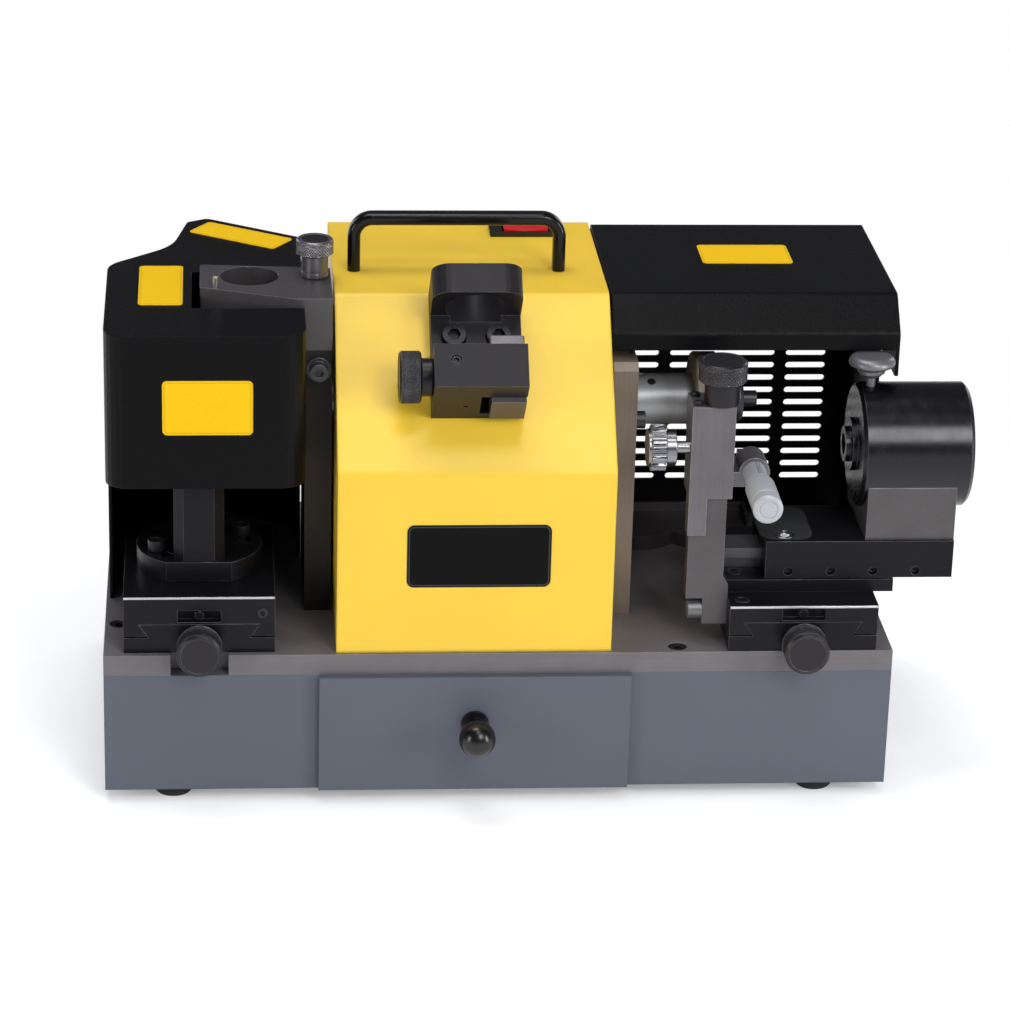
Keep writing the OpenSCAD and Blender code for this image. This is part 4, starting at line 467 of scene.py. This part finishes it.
# Turned bright steel: a soft grey, ringed by the tool.
turned_steel = worked("turned_steel", "#77757a", "#c9c7c5", metallic=0.8, roughness=0.34,
                      marks_mm=(0.9, 0.9, 0.35), depth_mm=0.003, edge_mm=0.3, edge_wear_and_highlight=0.9)
dress(phosphated, "ring_bracket")


def on_axis(node, axis):
    """Where a node's turning axis starts, the middle of its box's first face along the axis, in metres, and
    the box's length along it in mm."""
    lo, hi = np.array(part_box(node))
    axis = np.array(axis)
    half = (hi - lo) / 2
    return (lo + hi) / 2 - axis * half, 2000 * (np.abs(axis) @ half)


def profile(long, stem, head):
    """Rows of a lathe piece of a given length: the stem's are measured from its start, the head's back from
    its far end."""
    return np.concatenate([np.array(stem).reshape(-1, 2), np.array(head) * (-1, 1) + (long, 0)])


start, long = on_axis("ring_clamp_knob", upward)
turned("clamp_screw", turned_steel, "ring_clamp", start, upward,
       profile(long, [(0, 3.2), (0.8, 4)],
               [(22, 4), (22, 7.1), (21.6, 7.5), (19.4, 7.5), (19.1, 7), (18.3, 7), (18, 7.5), (9.5, 7.5),
                (9, 8.2), (9, 9.6), (8, 10.5), (1, 10.5), (0.2, 9.7), (0, 9.4), (0, 8.8), (0.5, 7.8),
                (1.1, 4), (1.3, 0.6)]),
       replaced=["ring_clamp_knob"], knurl=(long - 8, long - 1, 38, 0.6))
# Dish in the screw's head: a black lining laid in it.
turned("clamp_screw_dish", black_oxide, "ring_clamp", start, upward,
       profile(long, [], [(1.35, 0.4), (1.15, 4), (0.6, 7.7), (0.42, 7.7), (0.98, 4), (1.18, 0.4)]))
# Dowel in the ring's arm: a short ground pin that stops the holder.
turned("ring_dowel", ground_steel, "base", spot(-157.3, 82, 187), upward,
       [(0, 1.5), (5.5, 1.5), (6, 1.1), (6, 0.3)], around=32)


# Right hood and dust tray: a folded cover with rows of vent slots over the right wheel, powder coated like
# the guard, a bare plate on its top, and a two-lobed moulded tray on the plate under it.

stuck_plate("right_top_plate", yellow_sheet, "base", spot(146.6, 146.2, 184.5), rightward,
            backward, width=52, height=33, corner=vinyl_corner)
# Polypropylene: black and slick, wet-looking where it faces the lamps.
slick_plastic = moulded("black_polypropylene", "#393538", roughness=0.36, grain_mm=2.0, depth_mm=0.01,
                        edge_mm=0.7)
dress(slick_plastic, "dust_tray")


# Left slide: a dovetail base and saddle, ground iron blackened in salts, moved by a feed screw with a knurled
# knob in brass nuts, with a swivel plate and post on top.

# Blackened ground iron: blue-black with faint grinding lines across the slide, and bright edges that are
# partly worn and partly a painted highlight.
black_iron = worked("blackened_ground_iron", "#151418", "#8f8d91", metallic=0.2, roughness=0.34,
                    marks_mm=(26, 0.6, 0.6), depth_mm=0.003, edge_mm=0.45, edge_wear_and_highlight=0.9, specular=0.2)
# Machined brass: yellow, with the rings of the tool.
brass = worked("machined_brass", "#b39148", "#d8bc7a", metallic=1.0, roughness=0.3,
               marks_mm=(0.5, 0.5, 0.5), depth_mm=0.003, edge_mm=0.3)
# Turned and blackened steel: dark with bright rings where the tool ran, and knurl crests pale: partly rubbed,
# partly a painted highlight.
turned_black = worked("turned_black_steel", "#29272b", "#a5a3a3", metallic=0.5, roughness=0.34,
                      marks_mm=(0.9, 0.9, 0.35), depth_mm=0.003, edge_mm=0.3, edge_wear_and_highlight=0.9)
dress(black_iron, "left_slide_base", "left_saddle", "left_swivel_plate", "rest_post")
dress(brass, "left_feed_nut", "right_feed_nut")

# Both slides have the same feed knob, and a saddle whose top front edge is ground back to bright steel.
edge_h, edge_short = 1.4, 0.4
for side in ("left", "right"):
    lo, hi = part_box(side + "_saddle")
    edge_middle = np.array([(lo.x + hi.x) / 2, lo.y, hi.z - edge_h / 2000])
    stuck_plate(side + "_saddle_edge", ground_steel, side + "_slide", edge_middle, rightward, upward,
                width=(hi.x - lo.x) * 1000 - edge_short, height=edge_h, corner=0.4, thick=0.2)
    start, long = on_axis(side + "_feed_screw", forward)
    turned(side + "_feed_knob", turned_black, side + "_feed", start, forward,
           profile(long, [(0, 3.2), (0.8, 4)],
                   [(18.7, 4), (18.7, 5.4), (18.4, 5.7), (15, 5.7), (15, 11.4), (14, 12.5), (1.2, 12.5),
                    (0.3, 11.6), (0, 11.2), (0, 10.4), (0.25, 10.2), (0.25, 0.6)]),
           replaced=[side + "_feed_screw"], knurl=(long - 14, long - 1.2, 42, 0.6))


# Right slide: the same dovetail pair under a cross plate and a ground rail. On the rail runs the carriage
# with a row of gib screws, and on it a cradle, an index sleeve with its collet chuck, and a pull pin.

# Hot-blacked steel: the sleeve's blue-black polish, which draws the lamp as one broad band along it.
blacked_steel = worked("hot_blacked_steel", "#0a0a10", "#8f8f98", metallic=0.1, roughness=0.25,
                       marks_mm=(7, 9, 9), depth_mm=0.0004, edge_mm=0.5, edge_wear_and_highlight=0.5, specular=0.5)
# Dark ground steel: the rail, ground lengthwise and left oily.
dark_steel = worked("oily_ground_steel", "#66656a", "#a9a8ab", metallic=0.5, roughness=0.36,
                    marks_mm=(60, 0.5, 0.5), depth_mm=0.002, edge_mm=0.3)
dress(black_iron, "right_slide_base", "right_saddle", "cross_plate", "carriage")
dress(blacked_steel, "sleeve", "collet_chuck")
dress(phosphated, "cradle_block")
dress(dark_steel, "cross_rail")


def socket_head(name, material, body, start, axis, across, height, key):
    """A socket screw's head: a chamfered disc whose inner rings follow a hexagon of the key's width, its
    radius half the key over the cosine of the angle from the nearest flat's middle."""
    steps, chamfer, lead_in = 48, 0.4, 0.15
    angle = np.arange(steps) * 2 * math.pi / steps
    hexagon = key / 2 / np.cos(angle % (math.pi / 3) - math.pi / 6)
    disc = np.full(steps, across / 2)
    radius = np.stack([disc, disc, disc - chamfer, hexagon + lead_in, hexagon, hexagon])
    along = [0, height - chamfer, height, height, height - lead_in, height - 0.6 * key]
    turned(name, material, body, start, axis, [(a, 1) for a in along], radius=radius)


# Gib screws in a row along the carriage's front, seated below its face.
lo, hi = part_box("carriage")
gib_first, gib_pitch, gib_seat, gib_drop = 13, 24, 7.5, 7
for i in range(4):
    hole = np.array([lo.x, lo.y, (lo.z + hi.z) / 2])
    hole += np.array([gib_first + gib_pitch * i, gib_seat, -gib_drop]) / 1000
    socket_head(f"gib_screw_{i}", black_oxide, "carriage_body", hole, forward,
                across=4.9, height=5, key=2.4)

# Flat screws in the slides: one in the saddle's top, one in the cross plate beside the rail, one in the left
# saddle.
for name, body, place, axis, across in (
        ("saddle_screw", "right_slide", (135.1, 10, 26.6), upward, 9),
        ("cross_screw", "right_slide", (133, 33, 33.9), upward, 10),
        ("left_saddle_screw", "left_slide", (-132.2, 4.4, 23.7), forward, 6)):
    socket_head(name, black_oxide, body, spot(*place), axis, across, height=1.2,
                key=across * 0.45)

# Dust flap: a sheet of black rubber on the carriage's left end, held by a screw and its washer.
stuck_plate("dust_flap", rubber, "carriage_body", spot(161, 48.5, 57.5), rightward, backward,
            width=30, height=49, corner=9)
# Plated steel: the bright zinc skin of the flap's screw.
plated = worked("zinc_plated_steel", "#b4b5b8", "#dcdcde", metallic=1.0, roughness=0.3,
                marks_mm=(0.6, 0.6, 0.6), depth_mm=0.003, edge_mm=0.2)
turned("flap_screw", plated, "carriage_body", spot(159.7, 28.8, 57.9), upward,
       [(0, 5.2), (0.3, 5.5), (0.8, 5.5), (1, 5.2), (1, 3.7), (2.1, 3.5), (2.6, 2.9), (2.7, 1.5), (2.0, 1.4),
        (2.0, 0.3)], around=40)

# Satin steel: the pin's grey, turned and tumbled. Its head is rounded by a quarter of an ellipse.
satin_steel = worked("satin_steel", "#77777b", "#b5b5b8", metallic=0.6, roughness=0.4,
                     marks_mm=(0.6, 0.6, 0.6), depth_mm=0.003, edge_mm=0.3)
start, long = on_axis("index_pin", upward)
crown = np.radians(np.linspace(0, 90, 9))
turned("pull_pin", satin_steel, "pin", start, upward,
       profile(long, [(0, 1.6), (0.9, 2.5)],
               [(12.5, 2.5), (12.5, 4.6), (11.8, 5.6), (10.4, 6.6), (9.9, 7.6), (8, 8.0), (7.7, 7.4),
                (7.3, 7.4), (7, 8.1), (6.5, 8.1), (6.5, 10.6), (5.4, 12.4), (4.4, 13),
                *np.stack([4 - 4 * np.sin(crown), 8.4 + 4.6 * np.cos(crown)], 1), (0, 0.6)]),
       replaced=["index_pin"], around=96)


# Tooth rest: a stand on the right slide with a sliding block, raised by a knurled screw and locked by a
# fluted knob, and a micrometer that feeds the finger.

# Chrome: the lock knob's darker mirror. Matt chrome: the micrometer's pale grey, soft and even.
chrome = worked("chrome_plate", "#8c8c90", "#dcdcde", metallic=1.0, roughness=0.24,
                marks_mm=(0.5, 0.5, 0.5), depth_mm=0.002, edge_mm=0.3)
matt_chrome = worked("matt_chrome", "#b0b1b5", "#d4d4d7", metallic=0.25, roughness=0.42,
                     marks_mm=(0.5, 0.5, 0.5), depth_mm=0.002, edge_mm=0.3)
# Ground grey steel: the block's upright grinding lines, paler than the stand.
upright_ground = worked("upright_ground_steel", "#6b686c", "#cfcccc", metallic=0.55, roughness=0.36,
                        marks_mm=(0.9, 0.9, 45), depth_mm=0.01, edge_mm=0.6, edge_wear_and_highlight=0.95)
dress(phosphated, "stand_plate")
dress(upright_ground, "rest_block")
dress(drawn_steel, "tooth_rest")

start, long = on_axis("height_knob", upward)
turned("height_screw", turned_black, "height", start, upward,
       profile(long, [(0, 2.4), (0.6, 3)],
               [(25, 3), (25, 9.4), (24.6, 9.75), (12.6, 9.75), (12, 10.4), (12, 12.4), (11, 13.5),
                (1.2, 13.5), (0.2, 12.5), (0, 12.1), (0, 11.2), (0.2, 11), (0.2, 0.6)]),
       replaced=["height_knob"], knurl=(long - 11, long - 1.2, 42, 0.65))

# The lock knob's flutes: each is a circle's depth below the rim, by the arc's distance from its middle.
flutes, flute_steps, flute_radius, rim_radius = 16, 14, 1.6, 13
start, long = on_axis("lock_knob", leftward)
lock_rows = profile(long, [(0, 3.2), (0.4, 3.5)],
                    [(15.8, 3.5), (15.8, 9.6), (15.4, 10), (10.2, 10), (10.2, 12.4), (9.7, 13), (2.3, 13),
                     (1.8, 12.5), (1.8, 10.5), (0.4, 10.5), (0, 10.1), (0, 0.6)])
lock_turn = np.arange(flutes * flute_steps) * 2 * math.pi / (flutes * flute_steps)
half_flute = math.pi / flutes
off_flute = rim_radius * ((lock_turn + half_flute) % (2 * half_flute) - half_flute)
flute = np.sqrt(np.clip(flute_radius ** 2 - off_flute ** 2, 0, None))
lock_radius = lock_rows[:, 1:] - np.where(lock_rows[:, 1:] > rim_radius - 1, flute, 0)
turned("fluted_lock_knob", chrome, "lock", start, leftward, lock_rows, replaced=["lock_knob"],
       radius=lock_radius)

start, long = on_axis("micrometer_thimble", forward)
turned("thimble", matt_chrome, "thimble", start, forward,
       profile(long, [(14, 0.6), (14, 6.7), (0, 6.7), (0, 7.3), (4.5, 8.25)],
               [(9.5, 8.25), (9.2, 7.95), (8.8, 7.95), (8.5, 8.25), (1.2, 8.25), (0.3, 7.6), (0, 7), (0, 5.4),
                (0.4, 5.1), (0.4, 4.4), (0, 4.1), (0, 0.6)]),
       replaced=["micrometer_thimble"], around=96)

# Engraved matt chrome: the barrel's scale, one line along it and a tick for every millimetre.
tick_pitch, tick_width, tick_half, line_half = 0.001, 0.00025, 0.0012, 0.00012
engraving_mm, barrel_edge_mm = 0.01, 0.3
lo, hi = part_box("micrometer_barrel")
engraved_chrome, where = started("engraved_matt_chrome")
centred = add(engraved_chrome, "Mapping", {"vector_type": "POINT"},
              {"Vector": where, "Location": [-(lo.x + hi.x) / 2, -lo.y, -(lo.z + hi.z) / 2]}).outputs[0]
part = add(engraved_chrome, "SeparateXYZ", {}, {"Vector": centred}).outputs
step = add(engraved_chrome, "Math", {"operation": "WRAP"}, {0: part["Y"], 1: tick_pitch, 2: 0.0}).outputs[0]
tick = add(engraved_chrome, "Math", {"operation": "LESS_THAN"}, {0: step, 1: tick_width}).outputs[0]
near = add(engraved_chrome, "Math", {"operation": "COMPARE"},
           {0: part["X"], 1: tick_half, 2: tick_half}).outputs[0]
spine = add(engraved_chrome, "Math", {"operation": "COMPARE"},
            {0: part["X"], 1: 0.0, 2: line_half}).outputs[0]
short = add(engraved_chrome, "Math", {"operation": "MULTIPLY"}, {0: tick, 1: near}).outputs[0]
drawn = add(engraved_chrome, "Math", {"operation": "MAXIMUM"}, {0: short, 1: spine}).outputs[0]
engraved = add(engraved_chrome, "Mix", {"data_type": "RGBA"},
               {"Factor": drawn, "A": linear("#adaeb2"), "B": linear("#1c1c1e")}).outputs["Result"]
barrel_normal, _ = relief(engraved_chrome, drawn, engraving_mm, barrel_edge_mm)
shaded(engraved_chrome, {"Base Color": engraved, "Metallic": 0.25, "Roughness": 0.42,
                         "Normal": barrel_normal})
dress(engraved_chrome, "micrometer_barrel")

# Cap screws in the block's top, and the screw that fixes the stand to the slide.
lo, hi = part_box("rest_block")
cap_in = 0.0034
for i, cap_back in enumerate((0.005, 0.0185)):
    socket_head(f"rest_cap_screw_{i}", black_oxide, "rest",
                (lo.x + cap_in, lo.y + cap_back, hi.z), upward, across=5.2, height=2.4, key=2.4)
socket_head("stand_screw", satin_steel, "right_slide", spot(113.1, 19, 18.2), leftward,
            across=11, height=8, key=5)


# Tool setter: a bracket with a bore and a gauge block on the hood's slope, both blackened tool steel, with a
# phosphated jaw that a knurled screw slides, and a set screw in the block's face.

# Blackened tool steel: near black with a dull sheen, its edges grey: partly rubbed, partly a painted
# highlight.
tool_steel = worked("blackened_tool_steel", "#262427", "#a09a96", metallic=0.3, roughness=0.4,
                    marks_mm=(0.8, 0.8, 0.8), depth_mm=0.004, edge_mm=0.4, edge_wear_and_highlight=0.85, specular=0.25)
dress(tool_steel, "setter_bracket", "setter_block")
dress(phosphated, "setter_jaw")

start, long = on_axis("setter_knob", leftward)
turned("setter_screw_knob", turned_black, "setter_screw", start, leftward,
       profile(long, [(0, 2.6), (0.4, 3)],
               [(18, 3), (18, 10.2), (17.7, 10.5), (12.5, 10.5), (12, 11.2), (12, 13.4), (11, 14.5),
                (1.2, 14.5), (0.2, 13.5), (0, 13.1), (0, 12.2), (0.3, 12), (0.3, 0.6)]),
       replaced=["setter_knob"], knurl=(long - 11, long - 1.2, 44, 0.7))

slope, knee_y, knee_z = math.radians(45.9331), 2, 106.5
up_slope = np.array([0, math.cos(slope), math.sin(slope)])
off_slope = np.array([0, -math.sin(slope), math.cos(slope)])


def on_slope(x, up, off):
    """A point in metres from shop sizes in mm: x from the plate's middle, then up the hood's slope from its
    lower edge, and off its face."""
    return spot(x, knee_y, knee_z) + (up * up_slope + off * off_slope) / 1000


socket_head("gauge_set_screw", black_oxide, "base", on_slope(-28, 49, 39.2), off_slope,
            across=5.8, height=3.2, key=3)

# Tail of the jaw: it comes out behind the gauge block, over the bracket's screws.
lo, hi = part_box("setter_jaw")
tail_place = on_slope(0, 58.8, 24.5)
tail_place[0] = (lo.x + hi.x) / 2
stuck_plate("jaw_tail", upright_ground, "jaw", tail_place, off_slope, rightward,
            width=8, height=19, corner=0.8, thick=11)


# Studio: a white paper floor under a pale sky, soft boxes in front, above the hood's slope and overhead, and
# weaker fills at the four corners. The camera stands where the photograph was taken from.

floor_half = 9
floor_mesh = bpy.data.meshes.new("floor")
floor_corners = [(x * floor_half, y * floor_half, 0) for x, y in ((-1, -1), (1, -1), (1, 1), (-1, 1))]
floor_mesh.from_pydata(floor_corners, [], [(0, 1, 2, 3)])
floor = bpy.data.objects.new("floor", floor_mesh)
bpy.context.scene.collection.objects.link(floor)


def shown_rays(owner):
    """1 for a ray that shows the backdrop, from the camera or by way of a mirror or glass, and 0 for the
    rays that only carry light: the greatest of the three marks."""
    path = add(owner, "LightPath")
    seen = add(owner, "Math", {"operation": "MAXIMUM"},
               {0: path.outputs["Is Camera Ray"], 1: path.outputs["Is Glossy Ray"]}).outputs[0]
    return add(owner, "Math", {"operation": "MAXIMUM"},
               {0: seen, 1: path.outputs["Is Transmission Ray"]}).outputs[0]


# Matt white paper: takes the shadow close to the machine, and shows an even white further off, where its own
# glow takes over from its colour.
fade_from, fade_to, near_glow = 0.25, 0.6, 0.26
paper, where = started("white_paper")
shown = shown_rays(paper)
away = add(paper, "VectorMath", {"operation": "LENGTH"}, {0: where}).outputs["Value"]
glow_fade = add(paper, "MapRange", {}, {"Value": away, "From Min": fade_from, "From Max": fade_to,
                                        "To Min": near_glow, "To Max": 1.0}).outputs[0]
glow = add(paper, "Math", {"operation": "MULTIPLY"}, {0: shown, 1: glow_fade}).outputs[0]
colour_fade = add(paper, "MapRange", {}, {"Value": away, "From Min": fade_from, "From Max": fade_to,
                                          "To Min": 0.0, "To Max": 1.0}).outputs[0]
far = add(paper, "Math", {"operation": "MULTIPLY"}, {0: shown, 1: colour_fade}).outputs[0]
sheet = add(paper, "Mix", {"data_type": "RGBA"},
            {"Factor": far, "A": linear("#f2f2f2"), "B": linear("#000000")}).outputs["Result"]
shaded(paper, {"Base Color": sheet, "Roughness": 1.0, "Specular IOR Level": 0.0,
               "Emission Color": linear("#ffffff"), "Emission Strength": glow})
floor_mesh.materials.append(paper)

# Sky: white at the horizon and dim above it for what shows, and one even level for the light it gives.
horizon, zenith, horizon_rise, ambient = 1.0, 0.1, 0.08, 0.33
world = bpy.data.worlds.new("studio")
bpy.context.scene.world = world
world.use_nodes = True
world.node_tree.nodes.clear()
shown = shown_rays(world)
toward = add(world, "TexCoord").outputs["Generated"]
climb = add(world, "SeparateXYZ", {}, {"Vector": toward}).outputs["Z"]
sweep = add(world, "MapRange", {}, {"Value": climb, "From Min": 0.0, "From Max": horizon_rise,
                                    "To Min": horizon, "To Max": zenith}).outputs[0]
sky = add(world, "Mix", {"data_type": "FLOAT"}, {"Factor": shown, "A": ambient, "B": sweep}).outputs["Result"]
backdrop = add(world, "Background", {}, {"Color": linear("#f2f5ff"), "Strength": sky})
add(world, "OutputWorld", {}, {"Surface": backdrop.outputs[0]})


def soft_lamp(name, place, target, width, height, watts):
    """A soft lamp of width by height at a place, its local -Z turned to the target."""
    lamp = bpy.data.lights.new(name, "AREA")
    lamp.shape = "RECTANGLE"
    lamp.size, lamp.size_y = width, height
    lamp.energy = watts
    holder = bpy.data.objects.new(name, lamp)
    back = np.array(place, float) - np.array(target, float)
    back /= np.linalg.norm(back)
    right = np.cross(upward, back)
    right /= np.linalg.norm(right)
    columns = np.stack([right, np.cross(back, right), back, place], 1)
    holder.matrix_world = Matrix([*columns.tolist(), [0, 0, 0, 1]])
    bpy.context.scene.collection.objects.link(holder)


# Each lamp's place, width and height in metres, and its watts.
machine_middle = (0, 0, 0.15)
for name, place, width, height, watts in (
        ("front_softbox", (0.66, -1.7, 1.45), 0.7, 0.9, 17.5),
        ("slope_softbox", (0.1, -0.85, 2.1), 0.5, 0.4, 5),
        ("overhead_softbox", (-0.3, 0.2, 2.2), 1.0, 1.0, 18),
        ("right_fill", (1.5, -1.0, 0.55), 0.3, 0.9, 12.5),
        ("back_right_fill", (1.5, 1.7, 0.9), 0.5, 0.8, 6),
        ("back_left_fill", (-1.5, 1.7, 0.9), 0.5, 0.8, 6),
        ("left_fill", (-1.5, -1.0, 0.5), 0.3, 0.8, 7)):
    soft_lamp(name, place, machine_middle, width, height, watts)

# The camera's axes: level ones from its azimuth and elevation, turned about the line of sight by its roll.
azimuth, elevation, roll = np.radians((-4.84, 22.15, 1.57))
eye = spot(-159.82, -1885.61, 859.34)
back = np.array([math.sin(azimuth) * math.cos(elevation), -math.cos(azimuth) * math.cos(elevation),
                 math.sin(elevation)])
level_right = np.cross(-back, upward)
level_right /= np.linalg.norm(level_right)
level_up = np.cross(level_right, -back)
right = math.cos(roll) * level_right + math.sin(roll) * level_up
up = -math.sin(roll) * level_right + math.cos(roll) * level_up
lens = bpy.data.cameras.new("camera")
lens.sensor_width = 36
lens.lens = 133.27
lens.clip_end = 50
camera = bpy.data.objects.new("camera", lens)
camera.matrix_world = Matrix([*np.stack([right, up, back, eye], 1).tolist(), [0, 0, 0, 1]])
bpy.context.scene.collection.objects.link(camera)
bpy.context.scene.camera = camera
bpy.context.scene.view_settings.view_transform = "Standard"
